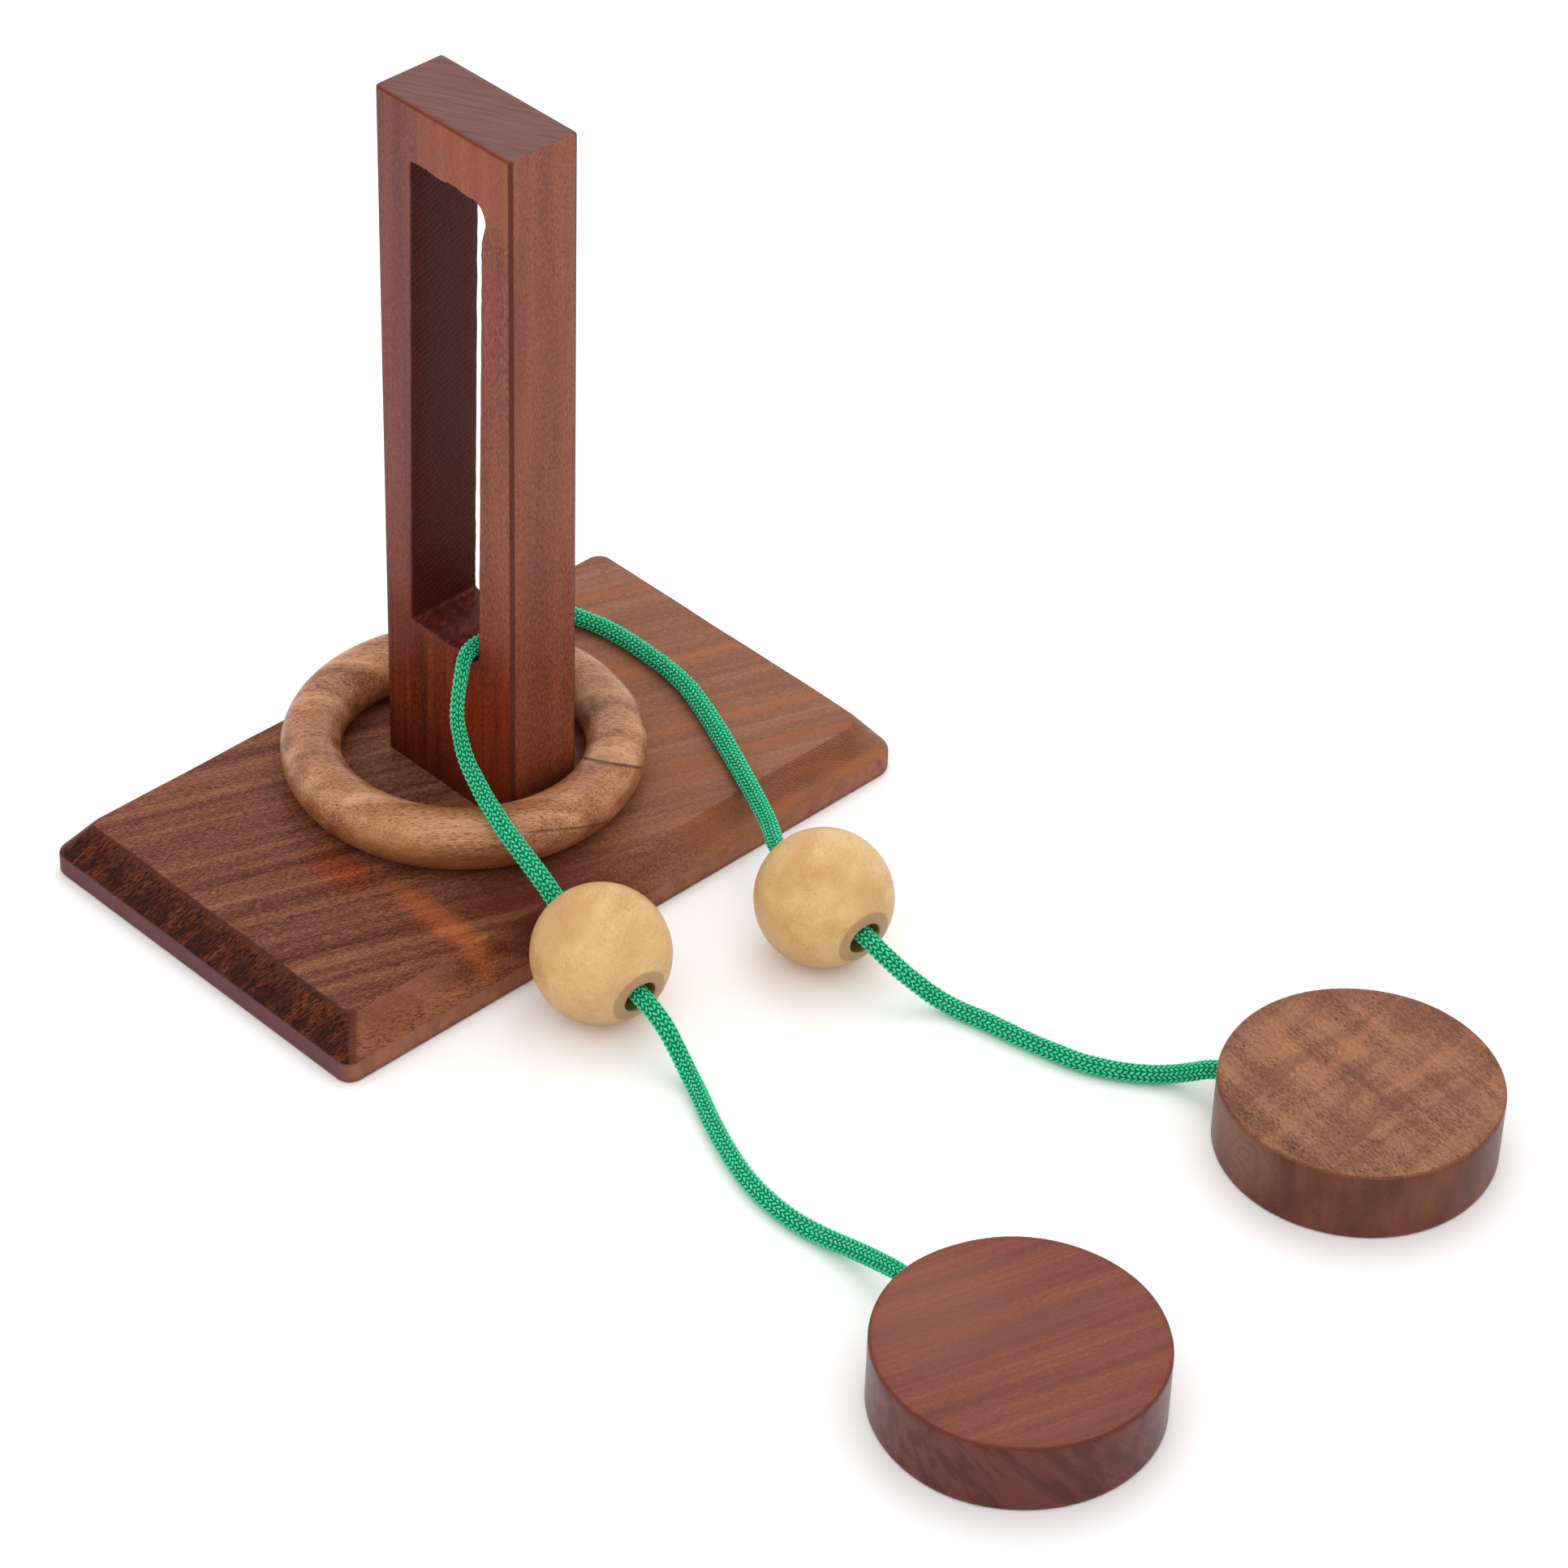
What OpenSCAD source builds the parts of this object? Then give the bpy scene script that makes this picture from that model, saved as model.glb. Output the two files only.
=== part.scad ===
// Rope puzzle: a slotted post on a board, a ring round the post, and one braided rope
// through the slot with a ball bead and a disc on each strand.
// Millimetres. Origin at the middle of the board's underside, +Z up,
// +X along the board's length, +Y along its width, away from the discs.

/* [Base board] */
// Length of the board
board_l = 150; // [120:1:220]
// Width of the board
board_w = 91; // [82:1:150]
// Thickness of the board
board_t = 12; // [9:0.5:25]
// Height of the upright rim under the chamfer
board_rim_h = 4.7; // [1:0.1:8]
// How far the chamfer runs in from the rim
board_chamfer_in = 5.5; // [1:0.1:12]
// Radius of the board's upright corners
board_corner_r = 3; // [0.5:0.1:10]

/* [Post] */
// Width of the post across its slotted face
post_w = 38; // [32:0.5:40]
// Thickness of the post along the slot
post_t = 17; // [12:0.5:18]
// Height of the post above the board
post_h = 156; // [120:1:240]
// Radius of the post's worn upright edges
post_edge_r = 0.8; // [0.2:0.1:3]
// Size of the worn bevel round the post's top
post_top_bevel = 0.7; // [0.2:0.1:3]

/* [Slot] */
// Width of the slot through the post
slot_w = 19.8; // [16.5:0.1:24]
// Height of the slot's floor above the board
slot_floor_h = 36; // [30:0.5:60]
// Wood left in the post above the slot
slot_bridge = 12.5; // [6:0.5:40]
// Sideways lean of the hand-cut slot, in degrees
slot_lean = 1.1; // [0:0.1:2]

/* [Ring] */
// Least room between the ring's hole and the post's corner where the ring lies against it
ring_gap = 0.25; // [0.2:0.05:4]
// Diameter of the ring's round section
ring_section_d = 12.4; // [8:0.2:16]
// Ring's rest place beside the post, along the board's length
ring_shift_x = -2; // [-2:0.1:2]
// Ring's rest place beside the post, along the board's width
ring_shift_y = 3.2; // [-3.2:0.1:3.2]

/* [Beads] */
// Diameter of each ball bead
bead_d = 28; // [26:0.5:34]
// Length that each end of a bead has lost to its bore and wear
bead_end_wear = 0.8; // [0.6:0.1:2]
// Room between the rope and the wall of a bead's bore
bead_bore_gap = 1.4; // [0.4:0.1:2.5]
// Width of the worn end face between the bore and the ball's round
bead_face_w = 3.3; // [2:0.1:4]
// Room between the front bead and the board's side
bead_front_gap = 1.3; // [0.5:0.1:6]
// Room between the back bead and the board's side
bead_back_gap = 18.3; // [10:0.1:22]

/* [Discs] */
// Diameter of each disc
disc_d = 55; // [40:0.5:80]
// Thickness of each disc
disc_t = 15.5; // [11:0.5:19]
// Size of the worn bevel round the disc's faces
disc_bevel = 0.6; // [0.2:0.1:2]
// Depth of the hole in the disc's side that holds the rope's end
disc_hole_depth = 10; // [8.6:0.1:16]

/* [Rope] */
// Diameter of the braided rope
rope_d = 4.2; // [3:0.1:4.6]
// Length of rope glued into each disc
rope_in_disc = 8.5; // [4:0.1:8.5]
// Room between the rope and the wall of its hole in a disc
rope_hole_gap = 0.25; // [0.1:0.05:1]

/* [Screws] */
// Diameter over the screw's thread
screw_d = 4; // [3:0.1:5]
// Wood left between the screw's tip and the slot's floor
screw_cover = 7.5; // [3:0.5:12]
// Diameter of the countersunk head
screw_head_d = 8; // [6.5:0.1:10]
// Distance between the two screws, along the board's width
screw_spacing = 20; // [12:0.5:24]
// Pitch of the screw's thread ridges
screw_pitch = 1.8; // [1.2:0.1:3]
// How deep the head sits below the board's underside
screw_sink = 0.5; // [0.2:0.1:1.5]
// Length of the head's cross recess
screw_recess_l = 4.4; // [3:0.1:6]
// Width of the head's cross recess
screw_recess_w = 1.1; // [0.6:0.1:1.4]
// Depth of the head's cross recess
screw_recess_depth = 1.4; // [0.6:0.1:1.6]
// Room between the screw and its holes
screw_gap = 0.05; // [0.02:0.01:0.3]

/* [Hidden] */

$fn = 96;
// Cuts run this far past the faces that they open
cut = 1;
// Sides of the rope's tube
rope_sides = 10;
// Share of the screw's diameter left at the root of its thread
screw_root = 0.7;
// Slope of the countersunk head, radius lost for each millimetre of height
head_slope = 1;

// The rope's route along its middle, from the slot out to each disc. The front strand lies over
// the ring's near side, the back strand over its far side and round on the board.
front_over_ring_pts = [
    [0, -6.2, 50.2], [-8.2, -6.3, 50.2], [-10.8, -7.4, 49.8], [-13, -9.1, 48.8], [-15, -10.5, 47.1],
    [-16.4, -11.5, 44.4], [-17, -12.1, 41.2], [-17, -12.9, 37.4], [-17.2, -14.2, 34.2],
    [-17.4, -16.1, 31.4], [-17.8, -19, 28.8], [-18.4, -22, 27.2], [-19.2, -25.4, 26.3],
    [-20.1, -29.2, 25.2], [-20.8, -34.5, 23.5], [-21.2, -40.8, 20.8], [-21.3, -44.7, 18.5],
    [-21.6, -48.2, 16.6], [-23.1, -60.8, 14.5]];
front_middle_pts = [
    [-23.1, -60.8, 14.5], [-24.7, -74.4, 12.3], [-24.9, -78, 11.1], [-25, -81.5, 8.9],
    [-25.3, -85.4, 5.4], [-26.1, -88.9, 3.2], [-27.4, -92.6, 2.3], [-31.3, -100.5, 2.2],
    [-34.9, -108.7, 2.2], [-37.7, -116.7, 2.2]];
front_end_pts = [
    [-37.7, -116.7, 2.2], [-39.2, -124.5, 2.2], [-39.4, -131.9, 2.2], [-38.6, -138.8, 2.4],
    [-38.1, -145.4, 3.5], [-38.3, -151.5, 5.1], [-38.9, -158, 7], [-39.6, -164.4, 7.8],
    [-40.3, -173, 7.8]];
back_over_ring_pts = [
    [0, -6.2, 50.2], [7.4, -4.9, 50.2], [10.6, -3.3, 49.9], [13.2, -1.3, 48.7], [15.2, 1, 46.4],
    [16.5, 3.8, 43], [17.3, 7, 39], [17.9, 10.8, 35], [18.8, 14.8, 31.6], [20.1, 19, 28.7],
    [21.8, 23.1, 26.9], [23.8, 26.2, 26.1], [26, 28.8, 24], [28.5, 31.2, 20.6], [31.3, 33.5, 17.2],
    [34.5, 35.3, 15], [38, 35.9, 14.3], [41.4, 34.9, 14.2], [44.3, 32.4, 14.2], [46.6, 28.8, 14.2],
    [48.2, 24, 14.2], [49.8, 17.8, 14.2], [50.4, 11.2, 14.2], [50.3, 4.2, 14.2], [49.8, -2.9, 14.2],
    [48.5, -10, 14.2], [45.9, -17.5, 14.2], [42.8, -25.1, 14.2], [39.4, -32.6, 14.2],
    [36, -40, 14.2], [32.5, -47.3, 14.3], [28.4, -54.8, 14.8], [25, -59.8, 15.4],
    [22.7, -65, 15.8], [21.1, -77.8, 14.4]];
back_middle_pts = [
    [21.1, -77.8, 14.4], [19.7, -91.5, 12.9], [19.9, -95.2, 11.5], [21.2, -99, 8.8],
    [23.2, -102.4, 5.9], [25.1, -105.7, 3.5], [26.5, -109.4, 2.3], [28, -115.6, 2.2],
    [29.3, -122.9, 2.2], [30.8, -129.8, 2.2]];
back_end_pts = [
    [30.8, -129.8, 2.2], [32.9, -136.6, 2.2], [36.1, -143, 2.2], [39.6, -147.7, 2.2],
    [42.6, -151.4, 2.7], [44.7, -155.2, 4.5], [46, -158.8, 6.7], [46.9, -162, 7.8],
    [49.8, -169.3, 7.8]];

// Direction of each bead's bore, as turn about Z and dip below level
bead_front_turn = -96.6;
bead_front_dip = 10;
bead_back_turn = -96;
bead_back_dip = 8;
// Direction in which the rope runs into each disc
disc_front_turn = -95;
disc_back_turn = -68;

// Derived places
post_top_z = board_t + post_h;
slot_floor_z = board_t + slot_floor_h;
slot_top_z = post_top_z - slot_bridge;
ring_hole_r = ring_gap + norm([post_t / 2 + abs(ring_shift_x), post_w / 2 + abs(ring_shift_y)]);
bead_bore_d = rope_d + 2 * bead_bore_gap;
bead_front_at = beside_board(last(front_over_ring_pts), bead_front_turn, bead_front_gap);
bead_back_at = beside_board(last(back_over_ring_pts), bead_back_turn, bead_back_gap);
screw_l = slot_floor_z - screw_cover - screw_sink;
screw_head_h = (screw_head_d - screw_d * screw_root) / 2 / head_slope;

// Place of a bead's middle on the rope's straight line through it, a gap away from the board
function beside_board(point, turn, gap) =
    let (y = -board_w / 2 - gap - bead_d / 2)
    [point[0] + (y - point[1]) / tan(turn), y];

function last(list) = list[len(list) - 1];
function tail(list) = [for (i = [1:len(list) - 1]) list[i]];
function reversed(list) = [for (i = [len(list) - 1:-1:0]) list[i]];
function unit(v) = v / norm(v);

// The whole rope in one list, from the front disc to the back disc, so that every stretch
// shares its end ring with the next one.
rope_pts = concat(reversed(front_end_pts), tail(reversed(front_middle_pts)),
                  tail(reversed(front_over_ring_pts)), tail(back_over_ring_pts),
                  tail(back_middle_pts), tail(back_end_pts));
front_middle_from = len(front_end_pts) - 1;
front_over_from = front_middle_from + len(front_middle_pts) - 1;
back_over_from = front_over_from + len(front_over_ring_pts) - 1;
back_middle_from = back_over_from + len(back_over_ring_pts) - 1;
back_end_from = back_middle_from + len(back_middle_pts) - 1;
back_end_to = len(rope_pts) - 1;

// Direction of the rope at each point, from the point before to the point after
rope_dirs = [for (i = [0:back_end_to])
    unit(rope_pts[min(i + 1, back_end_to)] - rope_pts[max(i - 1, 0)])];
// Side vector at each point, carried along the rope without twist
rope_sides_at = [for (i = 0, s = unit(cross(rope_dirs[0], [0, 0, 1]));
                      i <= back_end_to;
                      i = i + 1, s = i <= back_end_to ? unit(s - (s * rope_dirs[i]) * rope_dirs[i]) : s) s];
// One ring of the rope's tube, square to the rope at point i
function rope_ring(i) = [for (k = [0:rope_sides - 1])
    let (a = 360 * k / rope_sides)
    rope_pts[i] + rope_d / 2 * (cos(a) * rope_sides_at[i] + sin(a) * cross(rope_dirs[i], rope_sides_at[i]))];

// Rectangle with true arcs at its corners, centred
module rounded_rect(size_x, size_y, r) {
    square([size_x - 2 * r, size_y], center = true);
    square([size_x, size_y - 2 * r], center = true);
    for (x = [-1, 1], y = [-1, 1])
        translate([x * (size_x / 2 - r), y * (size_y / 2 - r)]) circle(r);
}

// Upright slab seen from its end: full width to the height low, drawn in by inset at the top
module end_profile(width, low, high, inset) {
    polygon([[-width / 2, 0], [width / 2, 0], [width / 2, low], [width / 2 - inset, high],
             [-width / 2 + inset, high], [-width / 2, low]]);
}

// Block of the given plan whose top edges are drawn in on all four sides
module topped_block(size_x, size_y, height, low, inset, corner_r) {
    intersection() {
        linear_extrude(height) rounded_rect(size_x, size_y, corner_r);
        translate([0, (size_y + cut) / 2, 0]) rotate([90, 0, 0])
            linear_extrude(size_y + cut) end_profile(size_x, low, height, inset);
        translate([-(size_x + cut) / 2, 0, 0]) rotate([90, 0, 90])
            linear_extrude(size_x + cut) end_profile(size_y, low, height, inset);
    }
}

// Places each child at the two screws under the post
module at_screws() {
    for (y = [-1, 1]) translate([0, y * screw_spacing / 2, screw_sink]) children();
}

// Solid that a screw fills, wider all round by room
module screw_space(room) {
    cylinder(h = screw_l + room, d = screw_d + 2 * room);
    translate([0, 0, -room]) cylinder(h = screw_head_h + room, d1 = screw_head_d + 2 * room,
                                      d2 = screw_d * screw_root + 2 * room);
    translate([0, 0, -screw_sink - cut]) cylinder(h = screw_sink + cut, d = screw_head_d + 2 * room);
}

// Countersunk wood screw, head down at z = 0, with ridged thread and a tapered tip
module wood_screw() {
    root_r = screw_d * screw_root / 2;
    tip_h = screw_d;
    turns = floor((screw_l - screw_head_h - tip_h) / screw_pitch);
    thread_z = screw_l - tip_h - turns * screw_pitch;
    profile = concat([[0, 0], [screw_head_d / 2, 0], [root_r, screw_head_h]],
        [for (i = [0:turns - 1], p = [[root_r, 0.25], [screw_d / 2, 0.5], [root_r, 0.75]])
            [p[0], thread_z + (i + p[1]) * screw_pitch]],
        [[root_r, screw_l - tip_h], [0, screw_l]]);
    difference() {
        rotate_extrude() polygon(profile);
        for (a = [0, 90]) rotate(a)
            translate([-screw_recess_l / 2, -screw_recess_w / 2, -cut])
                cube([screw_recess_l, screw_recess_w, screw_recess_depth + cut]);
    }
}

// Ball with worn end faces round a bore along Z, centred
module ball_bead() {
    r = bead_d / 2;
    bore_r = bead_bore_d / 2;
    mouth_z = r - bead_end_wear;
    face_r = bore_r + bead_face_w;
    face_z = sqrt(r * r - face_r * face_r);
    rotate_extrude() intersection() {
        circle(r);
        polygon([[bore_r, -mouth_z], [face_r, -face_z], [r, -face_z],
                 [r, face_z], [face_r, face_z], [bore_r, mouth_z]]);
    }
}

// Bead on the rope at a point of the route, resting on the floor
module bead_at(point, turn, dip) {
    translate([point[0], point[1], bead_d / 2]) rotate([0, 90 + dip, turn]) ball_bead();
}

// Disc lying flat with a blind hole in its side; the rope ends in the hole at the given point
module disc_at(point, turn) {
    translate([point[0], point[1], 0]) rotate(turn)
    translate([disc_d / 2 - rope_in_disc, 0, 0]) difference() {
        rotate_extrude() polygon([[0, 0], [disc_d / 2 - disc_bevel, 0], [disc_d / 2, disc_bevel],
                                  [disc_d / 2, disc_t - disc_bevel],
                                  [disc_d / 2 - disc_bevel, disc_t], [0, disc_t]]);
        translate([-disc_d / 2 - cut, 0, disc_t / 2]) rotate([0, 90, 0])
            cylinder(h = disc_hole_depth + cut, d = rope_d + 2 * rope_hole_gap);
    }
}

// Closed tube along the rope between two points of its list
module rope_stretch(from, to) {
    rings = to - from + 1;
    points = [for (i = [from:to]) each rope_ring(i)];
    walls = [for (i = [0:rings - 2], k = [0:rope_sides - 1])
        let (a = i * rope_sides + k, b = i * rope_sides + (k + 1) % rope_sides)
        each [[a, a + rope_sides, b], [b, a + rope_sides, b + rope_sides]]];
    start = [for (k = [1:rope_sides - 2]) [0, k, k + 1]];
    top = (rings - 1) * rope_sides;
    end = [for (k = [1:rope_sides - 2]) [top, top + k + 1, top + k]];
    polyhedron(points, concat(walls, start, end));
}

module base_board() {
    color("#9a6653") difference() {
        topped_block(board_l, board_w, board_t, board_rim_h, board_chamfer_in, board_corner_r);
        at_screws() screw_space(screw_gap);
    }
}

module post() {
    color("#8a4f42") difference() {
        translate([0, 0, board_t])
            topped_block(post_t, post_w, post_h, post_h - post_top_bevel, post_top_bevel, post_edge_r);
        translate([0, 0, (slot_floor_z + slot_top_z) / 2]) rotate([slot_lean, 0, 0])
            cube([post_t + 2 * cut, slot_w, slot_top_z - slot_floor_z], center = true);
        at_screws() screw_space(screw_gap);
    }
}

module post_screws() {
    color("#b9b7b0") at_screws() wood_screw();
}

module ring() {
    color("#ae7c5a") translate([ring_shift_x, ring_shift_y, board_t + ring_section_d / 2])
        rotate_extrude() translate([ring_hole_r + ring_section_d / 2, 0]) circle(d = ring_section_d);
}

module bead_front() {
    color("#e0b97c") bead_at(bead_front_at, bead_front_turn, bead_front_dip);
}

module bead_back() {
    color("#e0b97c") bead_at(bead_back_at, bead_back_turn, bead_back_dip);
}

module disc_front() {
    color("#955a48") disc_at(last(front_end_pts), disc_front_turn);
}

module disc_back() {
    color("#b0704a") disc_at(last(back_end_pts), disc_back_turn);
}

module rope_front_over_ring() {
    color("#1fa868") rope_stretch(front_over_from, back_over_from);
}

module rope_front_middle() {
    color("#1fa868") rope_stretch(front_middle_from, front_over_from);
}

module rope_front_end() {
    color("#1fa868") rope_stretch(0, front_middle_from);
}

module rope_back_over_ring() {
    color("#1fa868") rope_stretch(back_over_from, back_middle_from);
}

module rope_back_middle() {
    color("#1fa868") rope_stretch(back_middle_from, back_end_from);
}

module rope_back_end() {
    color("#1fa868") rope_stretch(back_end_from, back_end_to);
}

base_board();
post();
post_screws();
ring();
bead_front();
bead_back();
disc_front();
disc_back();
rope_front_over_ring();
rope_front_middle();
rope_front_end();
rope_back_over_ring();
rope_back_middle();
rope_back_end();
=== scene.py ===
import bpy, bmesh, math
import numpy as np
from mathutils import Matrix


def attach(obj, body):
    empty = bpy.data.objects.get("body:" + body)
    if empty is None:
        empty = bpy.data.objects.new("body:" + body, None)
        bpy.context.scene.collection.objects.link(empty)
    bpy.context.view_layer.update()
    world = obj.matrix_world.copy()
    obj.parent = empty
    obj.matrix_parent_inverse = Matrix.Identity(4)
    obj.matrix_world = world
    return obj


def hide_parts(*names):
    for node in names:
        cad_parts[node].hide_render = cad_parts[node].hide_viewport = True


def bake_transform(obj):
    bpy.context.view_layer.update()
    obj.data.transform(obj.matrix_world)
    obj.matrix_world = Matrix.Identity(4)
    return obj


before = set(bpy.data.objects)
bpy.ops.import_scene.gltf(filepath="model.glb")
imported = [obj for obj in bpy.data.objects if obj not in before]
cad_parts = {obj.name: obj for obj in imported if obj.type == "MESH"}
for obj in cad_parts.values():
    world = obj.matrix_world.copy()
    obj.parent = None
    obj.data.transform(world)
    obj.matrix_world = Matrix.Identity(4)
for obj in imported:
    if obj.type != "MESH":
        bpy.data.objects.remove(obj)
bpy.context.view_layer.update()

# ---- Camera, studio light and table ----
# A long lens looks down at the puzzle from its front corner, as in the photograph. One large soft
# lamp hangs behind the puzzle to the right, a weaker one over the camera's left shoulder, and the
# white surroundings fill the rest. The table is plain white paper and keeps the puzzle's shadow.


def linear(code):
    """A colour written as sRGB hex, as the linear values that a shader takes."""
    shares = [int(code[i:i + 2], 16) / 255 for i in (1, 3, 5)]
    return tuple(p / 12.92 if p <= 0.04045 else ((p + 0.055) / 1.055) ** 2.4 for p in shares) + (1.0,)


def add(tree, kind, inputs, out=0, **settings):
    """Adds one shader node: settings are its own fields, and each input is a value or the output that feeds it."""
    node = tree.nodes.new("ShaderNode" + kind)
    for field, value in settings.items():
        setattr(node, field, value)
    for socket, value in inputs.items():
        if isinstance(value, bpy.types.NodeSocket):
            tree.links.new(value, node.inputs[socket])
        else:
            node.inputs[socket].default_value = value
    return node.outputs[out] if node.outputs else node


def look_matrix(place, azimuth, elevation, roll=0.0):
    """Columns are the camera's right, up and back vectors: back is the view direction reversed, from the two
    angles; right is level; both right and up are then rolled about back."""
    a, e, r = map(math.radians, (azimuth, elevation, roll))
    back = np.array([math.sin(a) * math.cos(e), -math.cos(a) * math.cos(e), math.sin(e)])
    right = np.array([math.cos(a), math.sin(a), 0.0])
    up = np.cross(back, right)
    turned = (math.cos(r) * right + math.sin(r) * up, -math.sin(r) * right + math.cos(r) * up, back)
    whole = np.eye(4)
    whole[:3, :3] = np.array(turned).T
    whole[:3, 3] = place
    return whole


scene = bpy.context.scene
scene.view_settings.view_transform = "Standard"
camera = bpy.data.objects.new("camera", bpy.data.cameras.new("camera"))
scene.collection.objects.link(camera)
camera.data.lens, camera.data.sensor_width = 123.34, 36.0
camera.data.clip_start, camera.data.clip_end = 0.05, 20
camera_place, camera_turn = (-0.57115, -0.64834, 0.68465), (-45.463, 38.003, 2.004)
camera.matrix_world = look_matrix(camera_place, *camera_turn).T.tolist()
scene.camera = camera

lit_from = np.array([0.0, -0.08, 0.04])
for name, azimuth, elevation, distance, size, power in (
        ("key_lamp", 120, 62, 1.1, 0.8, 1.9),
        ("side_lamp", -60, 60, 1.2, 0.9, 0.7)):
    lamp = bpy.data.objects.new(name, bpy.data.lights.new(name, "AREA"))
    lamp.data.shape, lamp.data.size, lamp.data.energy = "DISK", size, power
    stand = look_matrix((0, 0, 0), azimuth, elevation)
    stand[:3, 3] = stand[:3, 2] * distance + lit_from
    lamp.matrix_world = stand.T.tolist()
    scene.collection.objects.link(lamp)

world = bpy.data.worlds.new("studio")
scene.world = world
world.use_nodes = True
tree = world.node_tree
tree.nodes.clear()
# The surroundings look white and are mirrored white, but light the puzzle a little less
seen = add(tree, "LightPath", {}).node.outputs
white = add(tree, "Math", {0: seen["Is Camera Ray"], 1: seen["Is Glossy Ray"]}, operation="MAXIMUM")
white = add(tree, "Math", {0: white, 1: seen["Is Transmission Ray"]}, operation="MAXIMUM")
strength = add(tree, "MapRange", {"Value": white, "To Min": 0.88, "To Max": 1.0})
sky = add(tree, "Background", {"Color": (1, 1, 1, 1), "Strength": strength})
add(tree, "OutputWorld", {"Surface": sky})

table_half = 4
table = bpy.data.objects.new("table", bpy.data.meshes.new("table"))
table.data.from_pydata([(x * table_half, y * table_half, 0) for x, y in ((-1, -1), (1, -1), (1, 1), (-1, 1))], [],
                       [(0, 1, 2, 3)])
scene.collection.objects.link(table)
paper = bpy.data.materials.new("white_paper")
paper.use_nodes = True
tree = paper.node_tree
tree.nodes.clear()
# The paper is drawn whiter to the camera than to the light that it passes on, so only close shadows stay grey
to_camera = add(tree, "LightPath", {}, out="Is Camera Ray")
whiter = add(tree, "MapRange", {"Value": to_camera, "To Min": 0.86, "To Max": 1.2})
matt = add(tree, "BsdfDiffuse", {"Color": add(tree, "CombineColor", dict.fromkeys(("Red", "Green", "Blue"), whiter))})
add(tree, "OutputMaterial", {"Surface": matt})
table.data.materials.append(paper)

# ---- Base board ----
# A planed hardwood board, 150 x 91 x 12 mm, whose four top edges are sawn to a chamfer and sanded
# soft. Its grain runs a little across its length, so the short chamfers are dark end grain.

MM = 0.001
# How far the noise in a wood is moved for each step of its seed, so that no two woods are alike
SEED_SHIFT = (0.37, 0.11, 0.23)


def turns(count):
    """Equal steps of a whole turn, starting at 0."""
    return 2 * np.pi * np.arange(count) / count


def outline(corners, radii, count):
    """Points round a four-sided outline. Each side's points stand closer together near its ends, by a cosine
    spacing, and those within a corner's radius of it move onto the arc that touches both its sides."""
    corners = np.array(corners, float)
    t = ((1 - np.cos(np.pi * np.arange(count) / count)) / 2)[:, None]
    rows = []
    for k in range(4):
        here, there = corners[k], corners[(k + 1) % 4]
        long = np.linalg.norm(there - here)
        ahead = (there - here) / long
        behind = (here - corners[k - 1]) / np.linalg.norm(here - corners[k - 1])
        beyond = (corners[(k + 2) % 4] - there) / np.linalg.norm(corners[(k + 2) % 4] - there)
        points = here + (there - here) * t
        for corner, first, second, radius, gone, start in (
                (here, behind, ahead, radii[k], long * t, True),
                (there, ahead, beyond, radii[(k + 1) % 4], long * (1 - t), False)):
            turn = (1 - gone / radius) * np.pi / 4
            turn = np.pi / 2 - turn if start else turn
            middle = corner - radius * first + radius * second
            arc = middle + radius * (np.sin(turn) * first - np.cos(turn) * second)
            points = np.where(gone < radius, arc, points)
        rows.append(points)
    return np.concatenate(rows)


def grid_faces(rows, columns, wrap_rows=False):
    """Quads between neighbours of a grid of points that closes along its columns, as rows of four indices."""
    r = np.arange(rows if wrap_rows else rows - 1)[:, None]
    c = np.arange(columns)[None, :]
    r2, c2 = (r + 1) % rows, (c + 1) % columns
    return np.stack([r * columns + c, r * columns + c2, r2 * columns + c2, r2 * columns + c], -1).reshape(-1, 4)


def new_piece(name, points, quads, material, values=None, uv=None):
    """A smooth mesh object at the origin from points in millimetres and quads. Values are one number a point, kept
    as named attributes; uv is one pair a point. Points in one place are merged, which closes seams and poles."""
    mesh = bpy.data.meshes.new(name)
    mesh.from_pydata((np.asarray(points, float).reshape(-1, 3) * MM).tolist(), [], quads.tolist())
    for key, numbers in (values or {}).items():
        mesh.attributes.new(key, "FLOAT", "POINT").data.foreach_set("value", np.asarray(numbers, np.float32).ravel())
    if uv is not None:
        layer = mesh.uv_layers.new(name="lay")
        layer.data.foreach_set("uv", np.asarray(uv, np.float32).reshape(-1, 2)[quads.ravel()].ravel())
    whole = bmesh.new()
    whole.from_mesh(mesh)
    bmesh.ops.remove_doubles(whole, verts=whole.verts, dist=1e-7)
    whole.to_mesh(mesh)
    whole.free()
    mesh.shade_smooth()
    mesh.materials.append(material)
    piece = bpy.data.objects.new(name, mesh)
    scene.collection.objects.link(piece)
    return piece


def uneven(x, seed, wave, height):
    """Soft unevenness along x: five sines of about the given wavelength with seeded phases, height at most."""
    lot = np.random.default_rng(seed)
    waves = wave * lot.uniform(0.6, 1.9, 5)
    starts = lot.uniform(0, 2 * np.pi, 5)
    return height * np.sin(np.asarray(x)[..., None] * 2 * np.pi / waves + starts).mean(-1) * 2


def new_material(name, roughness, specular=0.5, coat=0.0, coat_roughness=0.03, metallic=0.0):
    """A material that holds one Principled shader. Returns it with its tree and that shader node."""
    material = bpy.data.materials.new(name)
    material.use_nodes = True
    tree = material.node_tree
    tree.nodes.clear()
    shell = add(tree, "BsdfPrincipled", {"Roughness": roughness, "Specular IOR Level": specular, "Coat Weight": coat,
                                         "Coat Roughness": coat_roughness, "Metallic": metallic}).node
    add(tree, "OutputMaterial", {"Surface": shell.outputs[0]})
    return material, tree, shell


def whereabouts(tree):
    """The place on the piece and the direction that its surface faces there, as vectors."""
    return [add(tree, "TexCoord", {}, out=name) for name in ("Object", "Normal")]


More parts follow.
